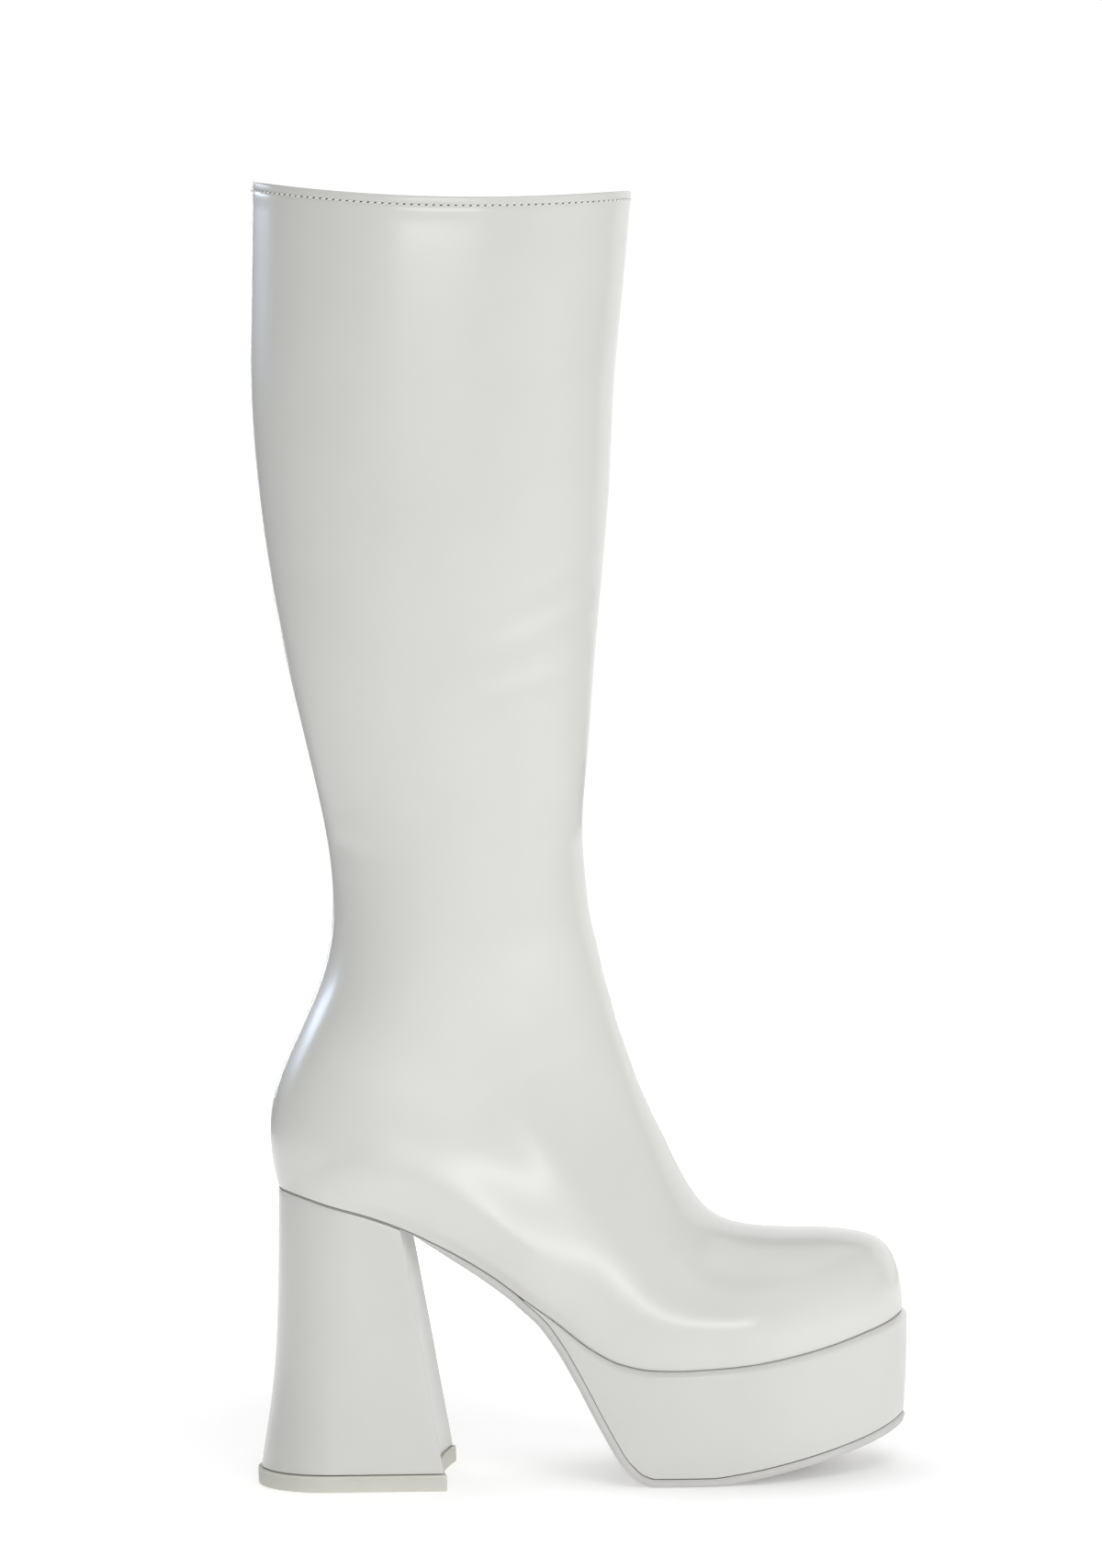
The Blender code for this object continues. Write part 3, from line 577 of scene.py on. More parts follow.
# Counter, in millimetres: where it starts and ends along the boot, and heights over the feather edge.
counter = {
    "from": (-32, 4),
    "to": (60, 95),
    "risesBy": 8,
    "fullAt": 12,
    "fullness": 1.6,
    "reach": 16,
    "hollowTo": (50, 112),
    "hollowAt": 45,
    "hollow": 0.9,
    "hollowReach": 15,
}


def counterRelief(points, aboveEdge):
    # The stiff counter fills the quarters just over the feather edge, and the skin draws in above it: two
    # bells over the height, faded in behind the heel's sides and out before the platform.
    x, height = points[..., 0] / mm, aboveEdge / mm
    full = counter["fullness"] * np.exp(-((height - counter["fullAt"]) / counter["reach"]) ** 2)
    drawn = counter["hollow"] * np.exp(-((height - counter["hollowAt"]) / counter["hollowReach"]) ** 2)
    full *= softStep(height, 0, counter["risesBy"]) * (1 - softStep(x, *counter["to"]))
    drawn *= 1 - softStep(x, *counter["hollowTo"])
    return (full - drawn) * softStep(x, *counter["from"]) * mm


# Soft waves of the skin: radians for a millimetre along each axis, and the phase.
swellWaves = ((1 / 31, 0, 1 / 17, 0), (0, -1 / 13, 1 / 29, 1.3), (1 / 19, 1 / 23, 1 / 47, 0))
swellHeight = 0.05 * mm


def swell(points):
    # Long soft waves: a sum of three sines across the leg.
    turns = [points @ np.array(wave[:3]) / mm + wave[3] for wave in swellWaves]
    return swellHeight * np.sin(turns).sum(axis=0)


def shellRims(index, closed):
    # The collar's loop and the feather edge's loop, each once round.
    collar = index[0, :-1]
    edge = np.concatenate((index[closed - 1:, 0], index[closed:-1, -1][::-1]))
    return collar, edge


def closedShell(outside, inside, index, closed):
    # Outer faces, inner faces turned round, and a strip along each of the two loops.
    count = len(outside)
    quads = quadFaces(index)
    faces = cleanFaces(quads) + cleanFaces(quads[:, ::-1] + count)
    for loop, down in zip(shellRims(index, closed), (False, True)):
        beside = np.roll(loop, -1)
        rim = np.stack((loop, beside, beside + count, loop + count), 1)
        faces += (rim[:, ::-1] if down else rim).tolist()
    return np.concatenate((outside, inside)), faces


collar = {
    "foldBand": 0.0085,
    "puff": 0.00018,
    "stitchLine": 0.0031,
    "grooveDepth": 0.00022,
    "grooveWidth": 0.0006,
    "pitch": 0.0026,
    "stitchLength": 0.0020,
    "threadRadius": 0.00024,
    "threadFlat": 0.85,
    "threadSides": 8,
    "slant": 9.0,
    "holeLong": 0.000576,
    "holeWide": 0.000288,
    "holeSides": 10,
}

seam = {
    "depth": 0.00030,
    "width": 0.00035,
    "ridge": 0.00012,
    "ridgeWidth": 0.0018,
    "risesFrom": (0.0005, 0.004),
}


def wayFromCollar(grid, closed):
    # Length walked down each column from the collar, and a metre where the sections are open below.
    way = pathLength(grid)
    way[closed:] = 1
    return way


def seamRelief(grid, closed, aboveEdge):
    # A ridge by a wide bell and a groove by a narrow one down the middle of the back, nil at the seat.
    way = pathLength(grid, 1)
    way = np.minimum(way, way[:, -1:] - way)
    way[closed:] = 1
    ridge = seam["ridge"] * np.exp(-(way / seam["ridgeWidth"]) ** 2)
    groove = seam["depth"] * np.exp(-(way / seam["width"]) ** 2)
    return (ridge - groove) * softStep(aboveEdge, *seam["risesFrom"])


def collarRelief(fromCollar):
    # The folded band stands proud by its puff, and the stitch row lies in a groove.
    fold = 1 - softStep(fromCollar, collar["foldBand"] * 0.6, collar["foldBand"])
    groove = np.exp(-((fromCollar - collar["stitchLine"]) / collar["grooveWidth"]) ** 2)
    return collar["puff"] * fold - collar["grooveDepth"] * groove


def levelNormals(grid, index, closed):
    # Unit normals, level along the collar and the feather edge, where the rims lie flat.
    normals = pointNormals(grid.reshape(-1, 3), quadFaces(index))
    normals[np.concatenate(shellRims(index, closed)), 2] = 0
    return normals / np.maximum(np.linalg.norm(normals, axis=1, keepdims=True), 1e-9)


def makeUpperLeather():
    # The sections' surface, moved along its normals by the sum of its relief; the inside lies one wall in.
    grid, index, closed = upperGrid(*upper["grid"])
    normals = levelNormals(grid, index, closed)
    fromCollar = wayFromCollar(grid, closed)
    aboveEdge = np.clip(grid[..., 2] - bottomHeight(grid[..., 0]), 0, None)
    fade = softStep(aboveEdge, 0, upper["reliefFade"]) * softStep(fromCollar, 0, upper["reliefFade"])
    relief = collarRelief(fromCollar) + seamRelief(grid, closed, aboveEdge)
    relief += (creaseRelief(grid) + swell(grid)) * fade + counterRelief(grid, aboveEdge)
    rim = 0.48 * upper["leatherWall"]  # so that the two rounds don't meet
    outward = relief - roundedEdge(fromCollar, rim) - roundedEdge(aboveEdge, upper["rollRadius"])
    inward = relief - upper["leatherWall"] + roundedEdge(fromCollar, rim)
    edgeLoop = shellRims(index, closed)[1]
    sides = [grid.reshape(-1, 3) + normals * move.reshape(-1, 1) for move in (outward, inward)]
    for side in sides:
        side[edgeLoop, 2] = bottomHeight(side[edgeLoop, 0])
    whole, faces = closedShell(*sides, index, closed)
    addPiece("upperLeather", whole, faces, upperLeather, node="upper")
    return sides[0].reshape(grid.shape), normals.reshape(grid.shape), fromCollar, closed


upperOutside, upperNormals, upperFromCollar, upperClosed = makeUpperLeather()


lining = {
    "grid": (90, 56, 12, 84),
    "belowCollar": 0.0016,
    "belowReach": 0.006,
}


def makeLining():
    # The same surface on a coarser grid, between the leather and the whole wall's inside. Its top lies under
    # the collar's fold, and the rows below make room for it.
    grid, index, closed = upperGrid(*lining["grid"])
    normals = levelNormals(grid, index, closed)
    edgeLoop = shellRims(index, closed)[1]
    lowered = lining["belowCollar"] * (1 - softStep(wayFromCollar(grid, closed), 0, lining["belowReach"]))
    insets = upper["leatherWall"] + joint, upper["wholeWall"]
    sides = [grid.reshape(-1, 3) - normals * inset for inset in insets]
    for side in sides:
        side[edgeLoop, 2] = bottomHeight(side[edgeLoop, 0])
        side[:, 2] -= lowered.ravel()
    whole, faces = closedShell(*sides, index, closed)
    addPiece("upperLining", whole, faces, liningKnit)


makeLining()


def tubeRing(centres, along, outward, radii, flat, sides):
    # A closed tube by rings: at each centre, radius times cosine along the side axis and sine outward.
    turn = np.linspace(0, 2 * math.pi, sides, endpoint=False)
    aside = np.cross(along, outward)
    ring = np.cos(turn)[:, None] * aside[..., None, :]
    ring = ring + flat * np.sin(turn)[:, None] * outward[..., None, :]
    return centres[..., None, :] + radii[..., None, None] * ring


def stitchFrame():
    # The stitch line round the leg, read between rows, with a reader of its frame at lengths along it.
    row = np.argmin(np.abs(upperFromCollar[:upperClosed] - collar["stitchLine"]), axis=0)
    columns = np.arange(upperOutside.shape[1])
    below = row + np.where(upperFromCollar[row, columns] < collar["stitchLine"], 1, -1)
    near, far = upperFromCollar[row, columns], upperFromCollar[below, columns]
    part = ((collar["stitchLine"] - near) / (far - near))[:, None]
    line, out = upperOutside[row, columns], upperNormals[row, columns]
    line = line + (upperOutside[below, columns] - line) * part
    way = pathLength(line)

    def readLine(values, at):
        return np.stack([np.interp(at, way, values[:, i]) for i in range(3)], -1)

    def readFrame(at):
        # Place, unit direction along the line, and the skin's normal.
        along = readLine(line, at + 0.1 * mm) - readLine(line, at - 0.1 * mm)
        along /= np.linalg.norm(along, axis=-1, keepdims=True)
        normal = readLine(out, at)
        return readLine(line, at), along, normal / np.linalg.norm(normal, axis=-1, keepdims=True)

    return way[-1], readFrame


def makeStitches():
    # Stitches along the collar at equal steps of its length. Each is a short tube, thin at both ends, that
    # dips under the skin there and leans by the slant.
    whole, readFrame = stitchFrame()
    count = round(whole / collar["pitch"])
    t = np.linspace(-1, 1, 9)
    half = collar["stitchLength"] / 2
    spots, along, normal = readFrame(((np.arange(count) + 0.5) * whole / count)[:, None] + t * half)
    aside = np.cross(normal, along)
    lean = math.tan(math.radians(collar["slant"])) * half
    lift = collar["threadRadius"] * (1.3 * (1 - t ** 4) - 0.5) + collar["grooveDepth"] * 0.3
    centres = spots + normal * lift[:, None] + aside * (lean * t)[:, None]
    radii = collar["threadRadius"] * np.sqrt(np.clip(1 - np.abs(t) ** 5, 0.06, 1)) * np.ones((count, 1))
    rings = tubeRing(centres, along, normal, radii, collar["threadFlat"], collar["threadSides"])
    index = np.arange(rings[..., 0].size).reshape(rings.shape[:3])
    quads = np.concatenate([quadFaces(each, wrap=True) for each in index])
    faces = quads.tolist() + index[:, 0].tolist() + index[:, -1, ::-1].tolist()
    addPiece("collarStitches", rings.reshape(-1, 3), faces, stitchThread)


def makeNeedleHoleShade():
    # Between the stitches, flat discs with their middle a little proud, dark as painted shade of the needle
    # holes' inside.
    whole, readFrame = stitchFrame()
    count, sides = round(whole / collar["pitch"]), collar["holeSides"]
    centre, along, normal = readFrame(np.arange(count) * whole / count)
    aside = np.cross(normal, along)
    turn = np.linspace(0, 2 * math.pi, sides, endpoint=False)[:, None]
    disc = np.cos(turn) * (along * collar["holeLong"])[:, None] + np.sin(turn) * (
        aside * collar["holeWide"])[:, None]
    rim = (centre + normal * 0.03 * mm)[:, None] + disc
    middle = (centre + normal * 0.05 * mm)[:, None]
    index = np.arange(count * (sides + 1)).reshape(count, sides + 1)
    ring, hub = index[:, :sides], np.repeat(index[:, sides:], sides, 1)
    faces = np.stack((ring, np.roll(ring, -1, axis=1), hub), -1).reshape(-1, 3).tolist()
    points = np.concatenate((rim, middle), 1).reshape(-1, 3)
    addPiece("needleHoleShadePainted", points, faces, needleShade)


makeStitches()
makeNeedleHoleShade()


# Soles

sole = {
    "platformLip": 0.0017,
    "platformDraft": 0.0023,
    "edgeRadius": 0.0025,
    "rearEdge": 0.00015,
    "lipStart": 0.39,
    "lipFull": 0.48,
    "outsoleThickness": 0.003,
    "outsoleSkive": 0.0004,
    "outsoleBevel": 0.0013,
    "spring": 0.0165,
    "step": 0.0016,
    "bulge": 0.00035,
    "seatInset": 0.0005,
    "footRound": 0.0005,
    "sharpAngle": 35,
}

# Underside of the platform: share of the height up to the last, and share of the sole's spring.
platformTable = {
    "station": (.385, .425, .460, .488, .516, .537, .551, .565, .580, .600, .690, .725, .770, .814, .858,
                .902, .940, .970, 1),
    "rise": (1, .972, .878, .735, .518, .333, .203, .108, .036) + (0,) * 10,
    "spring": (0,) * 11 + (.055, .150, .265, .395, .545, .690, .835, 1.020),
}
skiveTable = {"station": (0, .215, .250, .290, .360, 1), "full": (0, 0, .35, .75, 1, 1)}


def soleTopHeight(x):
    # The outsole's top: under the last behind the platform's end, and down its slope to the floor's level.
    rise, spring = (fromTable(platformTable, column, x) for column in ("rise", "spring"))
    low = sole["outsoleThickness"]
    return low + (bottomHeight(x) - gap - low) * rise + spring * sole["spring"]


def platformHeight(x):
    return np.clip(bottomHeight(x) - soleTopHeight(x) - 2 * gap, 0, None)


def platformLip(x):
    return sole["platformLip"] * softStep(stationAt(x), sole["lipStart"], sole["lipFull"])


def footOutset(x):
    # The platform's foot stands inside its lip by the draft of its side.
    whole = last["ballHeight"] - sole["outsoleThickness"]
    return platformLip(x) - sole["platformDraft"] * platformHeight(x) / whole


def solePlaces(start):
    # Even steps along the feather edge, twice as close where the sole bends down.
    at = np.arange(np.interp(start, places, walked), walked[-1], sole["step"] / 2)
    x = np.interp(np.append(at, walked[-1]), walked, places)
    keep = np.arange(len(x)) % 2 == 0
    keep |= (x > placeAt(0.37)) & (x < placeAt(0.65)) | (x > placeAt(0.98))
    keep[0] = keep[-1] = True
    return x[keep]


def loopNormals(loop, whole=True):
    # Outward in plan, square to the line between each point's neighbours; an open loop has ends.
    before, after = np.roll(loop, 1, axis=0), np.roll(loop, -1, axis=0)
    if not whole:
        before[0], after[-1] = loop[0], loop[-1]
    along = after - before
    normal = np.stack((along[:, 1], -along[:, 0]), 1)
    return normal / np.linalg.norm(normal, axis=1, keepdims=True)


def soleLoop(x):
    # Feather edge in plan: up the outer side to the toe, down the inner side, with outward normals.
    outer = np.stack((x, centreLine(x) - feather(x, "Outer")), 1)
    inner = np.stack((x, centreLine(x) + feather(x, "Inner")), 1)
    whole = x[0] <= placeAt(0)
    loop = np.concatenate((outer, inner[-2:0 if whole else None:-1]))
    return loop, loopNormals(loop, whole)


def soleRing(loop, normal, outset, height):
    # The loop moved out by outset in plan, each point at the height that its new place gives.
    plan = loop + normal * np.broadcast_to(outset, len(loop))[:, None]
    return np.column_stack((plan, height(plan[:, 0])))


def roundedTop(loop, normal, outset, radius, lift, count):
    # Rings of a quarter round, up to lift over the last's bottom.
    rings = []
    for angle in np.radians(np.linspace(0, 90, count)):
        ring = soleRing(loop, normal, outset - radius * (1 - np.cos(angle)), bottomHeight)
        ring[:, 2] += lift - radius * (1 - np.sin(angle))
        rings.append(ring)
    return rings


def ladder(count, start):
    # Rungs across a loop that runs up one side and down the other.
    pole = count % 2 == 0
    toe = count // 2
    partner = count if pole else count - 1
    rung = np.arange(1 if pole else 0, toe - 1)
    quads = np.stack((rung, rung + 1, partner - rung - 1, partner - rung), 1) + start
    ends = [[0, 1, count - 1]] if pole else []
    ends.append([toe - 1, toe, toe + 1])
    return quads.tolist() + [[start + i for i in face] for face in ends]


def stackRings(name, rings, finish, node, caps=ladder):
    # A closed body from its lowest ring to its highest.
    rings = np.array(rings)
    count = rings.shape[1]
    index = np.arange(rings.shape[0] * count).reshape(rings.shape[0], count)
    walls = quadFaces(index, wrap=True)[:, ::-1].tolist()
    top = (len(rings) - 1) * count
    faces = walls + [face[::-1] for face in caps(count, 0)] + caps(count, top)
    piece = addPiece(name, rings.reshape(-1, 3), faces, finish, node=node)
    piece.data.set_sharp_from_angle(angle=math.radians(sole["sharpAngle"]))
    return piece


def makePlatform():
    # Side from foot to lip, slightly full in the middle, then a quarter round up to the top.
    rear = places[np.argmax(platformHeight(places) > sole["rearEdge"])]
    loop, normal = soleLoop(solePlaces(rear))
    x = loop[:, 0]
    tall = platformHeight(x)
    radius = np.minimum(sole["edgeRadius"], 0.45 * tall)
    foot, lip = footOutset(x), platformLip(x)
    small = np.minimum(sole["footRound"], 0.2 * tall)
    rings = []
    for angle in np.radians((0, 30, 60, 90)):
        inset = small * (1 - np.sin(angle))
        ring = soleRing(loop, normal, foot - inset, lambda at: soleTopHeight(at) + gap)
        ring[:, 2] += small * (1 - np.cos(angle))
        rings.append(ring)
    low, high = rings[-1], soleRing(loop, normal, lip, lambda at: bottomHeight(at) - joint)
    high[:, 2] -= radius
    out = np.column_stack((normal, np.zeros(len(loop))))
    full = (sole["bulge"] * np.clip(tall / last["ballHeight"], 0, 1))[:, None]
    for part in np.linspace(0, 1, 12)[1:-1]:
        rings.append(low + (high - low) * part + out * full * 4 * part * (1 - part))
    rings += roundedTop(loop, normal, lip, radius, -joint, 9)
    stackRings("platformWrap", rings, wrapLeatherPaintedShade, "platform")


def outsoleRing(loop, normal, outset, depth):
    # A ring at a share of the outsole's thickness, measured square to its top.
    ring = soleRing(loop, normal, outset, soleTopHeight)
    x, nudge = ring[:, 0], 0.02 * mm
    slope = (soleTopHeight(x + nudge) - soleTopHeight(x - nudge)) / (2 * nudge)
    square = 1 / np.sqrt(1 + slope ** 2)
    full = fromTable(skiveTable, "full", x)
    thick = sole["outsoleSkive"] + (sole["outsoleThickness"] - sole["outsoleSkive"]) * full
    ring[:, 0] += depth * thick * slope * square
    ring[:, 2] -= depth * thick * square
    return ring


# Side of the outsole from its tread up: share of its thickness, share of the bevel, and millimetres further
# in where it has its whole thickness.
outsoleProfile = (
    (1.00, 1, 0.20), (0.98, 1, 0), (0.80, .62, 0), (0.58, .16, 0), (0.50, 0, 0.03), (0.42, 0, 0),
    (0.22, 0, 0), (0.18, 0, 0.12), (0.14, 0, 0), (0.04, 0, 0.03), (0.00, 0, 0.20),
)


def makeOutsole():
    # Tread, a short round, the bevel, and an upright band with a shallow line in it under the joint.
    loop, normal = soleLoop(solePlaces(placeAt(0)))
    full = fromTable(skiveTable, "full", loop[:, 0])
    edge = footOutset(loop[:, 0]) - gap - sole["seatInset"] * (1 - full)
    bevel = sole["outsoleSkive"] + (sole["outsoleBevel"] - sole["outsoleSkive"]) * full
    skived = sole["outsoleSkive"] / sole["outsoleThickness"]
    fine = (skived + (1 - skived) * full) * mm
    rings = [outsoleRing(loop, normal, edge - bevel * share - extra * fine, depth)
             for depth, share, extra in outsoleProfile]
    stackRings("outsoleRubber", rings, soleRubber, "outsole")


sock = {
    "clearance": 0.001,
    "thickness": 0.0025,
    "radius": 0.0008,
}


def makeSock():
    # The insole's board and sock, its top edge rounded.
    loop, normal = soleLoop(solePlaces(placeAt(0)))
    inset = -(upper["wholeWall"] + sock["clearance"])
    rings = [soleRing(loop, normal, inset, bottomHeight)]
    rings += roundedTop(loop, normal, inset, sock["radius"], sock["thickness"], 5)
    stackRings("sockLining", rings, liningKnit, "insole")


makePlatform()
makeOutsole()
makeSock()


# Heel

heel = {
    "treadBack": 0.0348,
    "treadBreast": 0.0348,
    "treadWidth": 0.067,
    "backRadius": 0.031,
    "breastStation": 0.203,
    "breastHollow": 0.0035,
    "corner": 0.0011,
    "tipThickness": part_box("heel_tip")[1][2],
    "tipProud": 0.0003,
    "endRound": 0.00035,
    "sideColumns": 48,
    "breastColumns": 24,
    "capBehind": 9,
    "rows": 60,
}
flareTable = {
    "level": (0, .10, .20, .35, .50, .70, .85, 1),
    "back": (1, .830, .640, .390, .235, .115, .050, 0),
    "breast": (1, .91, .81, .66, .52, .32, .17, 0),
}


def walkLine(line, shares):
    # Points at shares of a line's length.
    way = pathLength(line)
    return np.stack([np.interp(shares * way[-1], way, line[:, i]) for i in range(2)], 1)


def treadSide(shares):
    # A quarter circle round the back, then straight to the breast's corner.
    turn = np.linspace(0, math.pi / 2, 181)
    radius = heel["backRadius"]
    arc = np.stack((radius - heel["treadBack"] - radius * np.cos(turn), radius * np.sin(turn)), 1)
    return walkLine(np.concatenate((arc, ((heel["treadBreast"], heel["treadWidth"] / 2),))), shares)


def seatSide(shares, side):
    # The feather edge from the back to the breast, one gap in.
    line = np.stack((places, feather(places, side) - gap), 1)[places <= placeAt(heel["breastStation"])]
    line[:, 1] = line[:, 1].clip(0)
    return walkLine(line, shares)


def dLoop(outer, inner):
    # Outline from its two sides: outer side, round corner, hollow breast, round corner, inner side.
    cut = heel["corner"]
    cornerX = outer[-1, 0]
    ends = {-1: outer, 1: inner}
    y = np.linspace(cut - outer[-1, 1], inner[-1, 1] - cut, heel["breastColumns"] + 1)
    half = np.where(y < 0, outer[-1, 1], inner[-1, 1])
    breast = np.stack((cornerX - heel["breastHollow"] * (1 - (y / half) ** 2), y), 1)
    t = np.linspace(0, 1, 7)[:, None]
    bends = {}
    for turn, side in ends.items():
        start = side[-2] * (1, turn)
        point = side[-1] * (1, turn)
        stop = breast[0] if turn < 0 else breast[-1]
        bends[turn] = (1 - t) ** 2 * start + 2 * t * (1 - t) * point + t ** 2 * stop
    sides = (outer[:-2] * (1, -1), bends[-1], breast[1:-1], bends[1][::-1], inner[-3:0:-1])
    return np.concatenate(sides)


def dCaps(count, start):
    # Rungs across the sides to behind the hollow, and one face from there up to the breast.
    corner = heel["sideColumns"] - heel["capBehind"]
    rung = np.arange(1, corner)
    quads = np.stack((rung, rung + 1, count - rung - 1, count - rung), 1).tolist()
    faces = [[0, 1, count - 1]] + quads + [list(range(corner, count - corner + 1))]
    return [[start + i for i in face] for face in faces]


def sideShares():
    # Even steps to just short of the corner, and the corner itself.
    total = heel["treadBack"] + heel["treadBreast"]
    return np.append(np.linspace(0, 1 - heel["corner"] / total, heel["sideColumns"] + 1), 1)


def seatHeight(x):
    # The underside of the outsole's skived end, one pressed joint down.
    spine = np.stack((places, centreLine(places)), 1)
    under = outsoleRing(spine, np.zeros_like(spine), 0.0, 1.0)
    return np.interp(x, under[:, 0], under[:, 2]) - joint


def makeHeel():
    # Each ring lies between the seat's outline and the tread's, by the flare of its level at the back and at
    # the breast. Both ends are rounded a little.
    shares = sideShares()
    tread = dLoop(treadSide(shares), treadSide(shares))
    seat = dLoop(seatSide(shares, "Outer"), seatSide(shares, "Inner"))
    top, foot = seatHeight(seat[:, 0]), heel["tipThickness"] + gap
    span = seat[:, 0].max() - seat[:, 0].min() - heel["breastHollow"]
    forward = ((seat[:, 0] - seat[:, 0].min()) / span).clip(0, 1)
    levels = np.concatenate(([0, 0.001, 0.0025], np.linspace(0.004, 0.996, heel["rows"]), [0.9975, 0.999, 1]))
    rings = []
    for level in levels:
        z = foot + level * (top - foot)
        back = smoothCurve(flareTable["level"], flareTable["back"], z / top)
        breast = smoothCurve(flareTable["level"], flareTable["breast"], z / top)
        plan = seat + (tread - seat) * (back + (breast - back) * forward)[:, None]
        inset = roundedEdge(min(level, 1 - level) * (top.mean() - foot), heel["endRound"])
        rings.append(np.column_stack((plan - loopNormals(plan) * inset, z)))
    stackRings("heelWrap", rings, wrapLeatherPaintedShade, "heel", caps=dCaps)


# Side of the tip: share of its thickness, and millimetres out.
tipProfile = (
    (0, -0.5), (0.02, -0.25), (0.06, -0.08), (0.12, 0), (0.80, 0), (0.84, -0.12), (0.88, 0), (0.96, -0.05),
    (1, -0.3),
)


def makeTip():
    # The tread's outline, a little proud, its edges rounded, with a shallow line round its side.
    side = treadSide(sideShares())
    loop = dLoop(side, side)
    normal = loopNormals(loop)
    rings = [np.column_stack((loop + normal * (heel["tipProud"] + out * mm),
                              np.full(len(loop), z * heel["tipThickness"]))) for z, out in tipProfile]
    stackRings("heelTipRubber", rings, tipRubber, "heel_tip", caps=dCaps)


makeHeel()
makeTip()


# Floor, light and camera

stage = {
    "floorRadius": 1.15,
    "floorColour": "#F6F6F6",
    # Painted light on the floor: emission ramps by distance from the shade centre, weak near the boot as
    # painted contact shade.
    "shadeCentre": (0.15, 0.0, 0.0),
    "paintedLightNear": (0.0, 0.10, 0.12, 0.40),
    "paintedLightFar": (0.22, 0.8, 0.0, 0.42),
    "worldLight": 0.16,
    "worldSeen": 1.05,
    "focus": (0.0786, 0.0, 0.250),
    "cameraPlace": (0.1784, -2.5981, 0.430),
    "cameraRoll": 1.8,
    "lens": 166.5,
}

# Area lights: place, point aimed at, width, height, power, colour, and what of them shows: the lighting
# that they give (matt), their mirror image (gloss), or both.
lights = {
    "keyFront": ((0.04, -2.9, 0.60), (0.08, 0, 0.12), 1.3, 0.16, 11, "#FFFFFF", "both"),
    "highFront": ((0.70, -2.0, 2.0), (0.08, 0, 0.15), 1.4, 0.8, 18, "#FFFFFF", "matt"),
    "fillFront": ((2.15, -1.55, 0.5), (0.08, 0, 0.2), 1.8, 1.6, 12, "#FFFFFF", "matt"),
    "fillToe": ((2.4, -0.2, 1.2), (0.08, 0, 0.2), 1.0, 1.2, 6, "#FFFFFF", "matt"),
    "overhead": ((0.1, 0.3, 2.5), (0.08, 0, 0.0), 2.4, 2.4, 20, "#FFFFFF", "both"),
    "farEdge": ((0.95, 1.6, 0.76), (0.05, 0, 0.3), 2.4, 1.5, 12, "#FFFFFF", "gloss"),
    "backEdge": ((-1.5, 1.0, 0.72), (-0.02, 0, 0.4), 1.1, 0.22, 9, "#DCE9FF", "gloss"),
    "fillInner": ((-0.6, 2.4, 0.9), (0.08, 0, 0.2), 1.6, 1.6, 13, "#FFFFFF", "matt"),
    "keyInner": ((-0.9, 2.5, 0.9), (0.04, 0, 0.25), 0.3, 1.8, 9, "#FFFFFF", "gloss"),
}


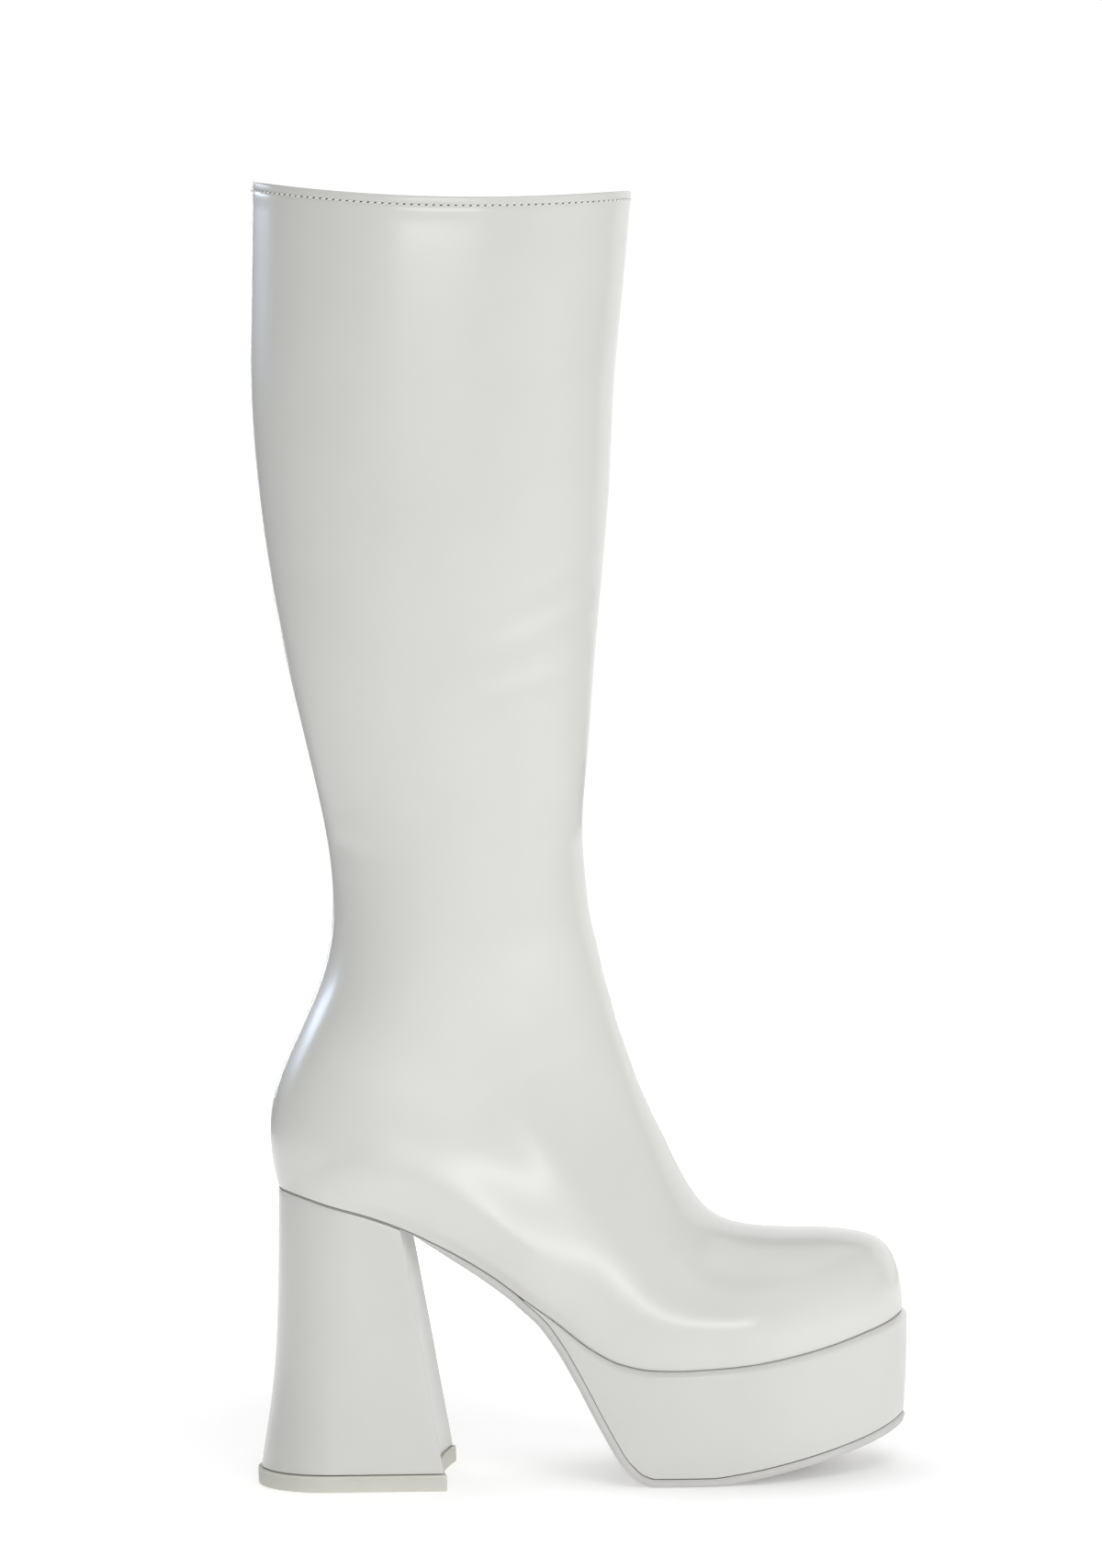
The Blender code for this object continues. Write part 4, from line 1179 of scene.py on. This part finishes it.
def makeFloor():
    # A disc of white seamless paper with painted light: its emission grows with the distance from the boot,
    # painted
    # # darker near the boot as contact shade and lighter further out, until it meets the white behind it.
    turn = np.linspace(0, 2 * math.pi, 96, endpoint=False)
    rim = np.stack((np.cos(turn), np.sin(turn), 0 * turn), 1) * stage["floorRadius"]
    mesh = bpy.data.meshes.new("floorPaper")
    mesh.from_pydata(rim.tolist(), [], [tuple(range(96))])
    paper, tree, shader, where = newMaterial("paperPaintedLight")
    # Painted light: emission by distance from the shade centre, weak near the boot as painted contact shade.
    away = addNode(tree, "ShaderNodeVectorMath", {"operation": "DISTANCE"}, {
        "Vector": where, 1: stage["shadeCentre"]})
    paintedLightRamps = [addNode(tree, "ShaderNodeMapRange", {"interpolation_type": "SMOOTHSTEP"}, {
        "Value": [away, "Value"], "From Min": near, "From Max": far, "To Min": weak, "To Max": strong})
        for near, far, weak, strong in (stage["paintedLightNear"], stage["paintedLightFar"])]
    paintedLight = addNode(tree, "ShaderNodeMath", {"operation": "ADD"}, {
        0: [paintedLightRamps[0], "Result"], 1: [paintedLightRamps[1], "Result"]})
    setInputs(tree, shader, {
        "Base Color": linearColour(stage["floorColour"]),
        "Normal": bump(tree, [noise(tree, where, 2.0, 2.0), "Fac"], 0.1, 0.05),
        "Emission Color": (1, 1, 1, 1),
        "Emission Strength": [paintedLight, "Value"],
        "Roughness": 0.9,
        "Specular IOR Level": 0.2,
    })
    mesh.materials.append(paper)
    floor = bpy.data.objects.new("floorPaper", mesh)
    bpy.context.collection.objects.link(floor)


def aimed(place, target, roll=0.0):
    # Matrix at place whose -Z looks at target, turned about it by roll in degrees.
    place, target = np.array(place, float), np.array(target, float)
    ahead = (target - place) / np.linalg.norm(target - place)
    right = np.cross(ahead, (0, 0, 1))
    right /= np.linalg.norm(right)
    above = np.cross(right, ahead)
    c, s = math.cos(math.radians(roll)), math.sin(math.radians(roll))
    matrix = np.eye(4)
    matrix[:3] = np.stack((c * right - s * above, s * right + c * above, -ahead, place), 1)
    return Matrix(matrix.tolist())


def placeObject(thing, matrix):
    thing.matrix_world = matrix
    bpy.context.collection.objects.link(thing)


def makeLights():
    for name, (place, target, width, height, power, colour, shows) in lights.items():
        lamp = bpy.data.lights.new(name, "AREA")
        lamp.shape = "RECTANGLE"
        lamp.size, lamp.size_y = width, height
        lamp.energy = power
        lamp.color = linearColour(colour)[:3]
        box = bpy.data.objects.new(name, lamp)
        box.visible_camera = False
        box.visible_diffuse = shows != "gloss"
        box.visible_glossy = shows != "matt"
        placeObject(box, aimed(place, target))
    world = bpy.data.worlds.new("softWhite")
    world.use_nodes = True
    tree = world.node_tree
    path = tree.nodes.new("ShaderNodeLightPath")
    strength = addNode(tree, "ShaderNodeMapRange", {}, {
        "Value": [path, "Is Camera Ray"], "To Min": stage["worldLight"], "To Max": stage["worldSeen"]})
    setInputs(tree, tree.nodes["Background"], {"Color": (1, 1, 1, 1), "Strength": [strength, "Result"]})
    bpy.context.scene.world = world


def makeCamera():
    camera = bpy.data.cameras.new("photoCamera")
    camera.lens = stage["lens"]
    camera.clip_end = 50
    view = bpy.data.objects.new("photoCamera", camera)
    placeObject(view, aimed(stage["cameraPlace"], stage["focus"], stage["cameraRoll"]))
    bpy.context.scene.camera = view


makeFloor()
makeLights()
makeCamera()
bpy.context.scene.view_settings.view_transform = "Standard"
print("stage ready")
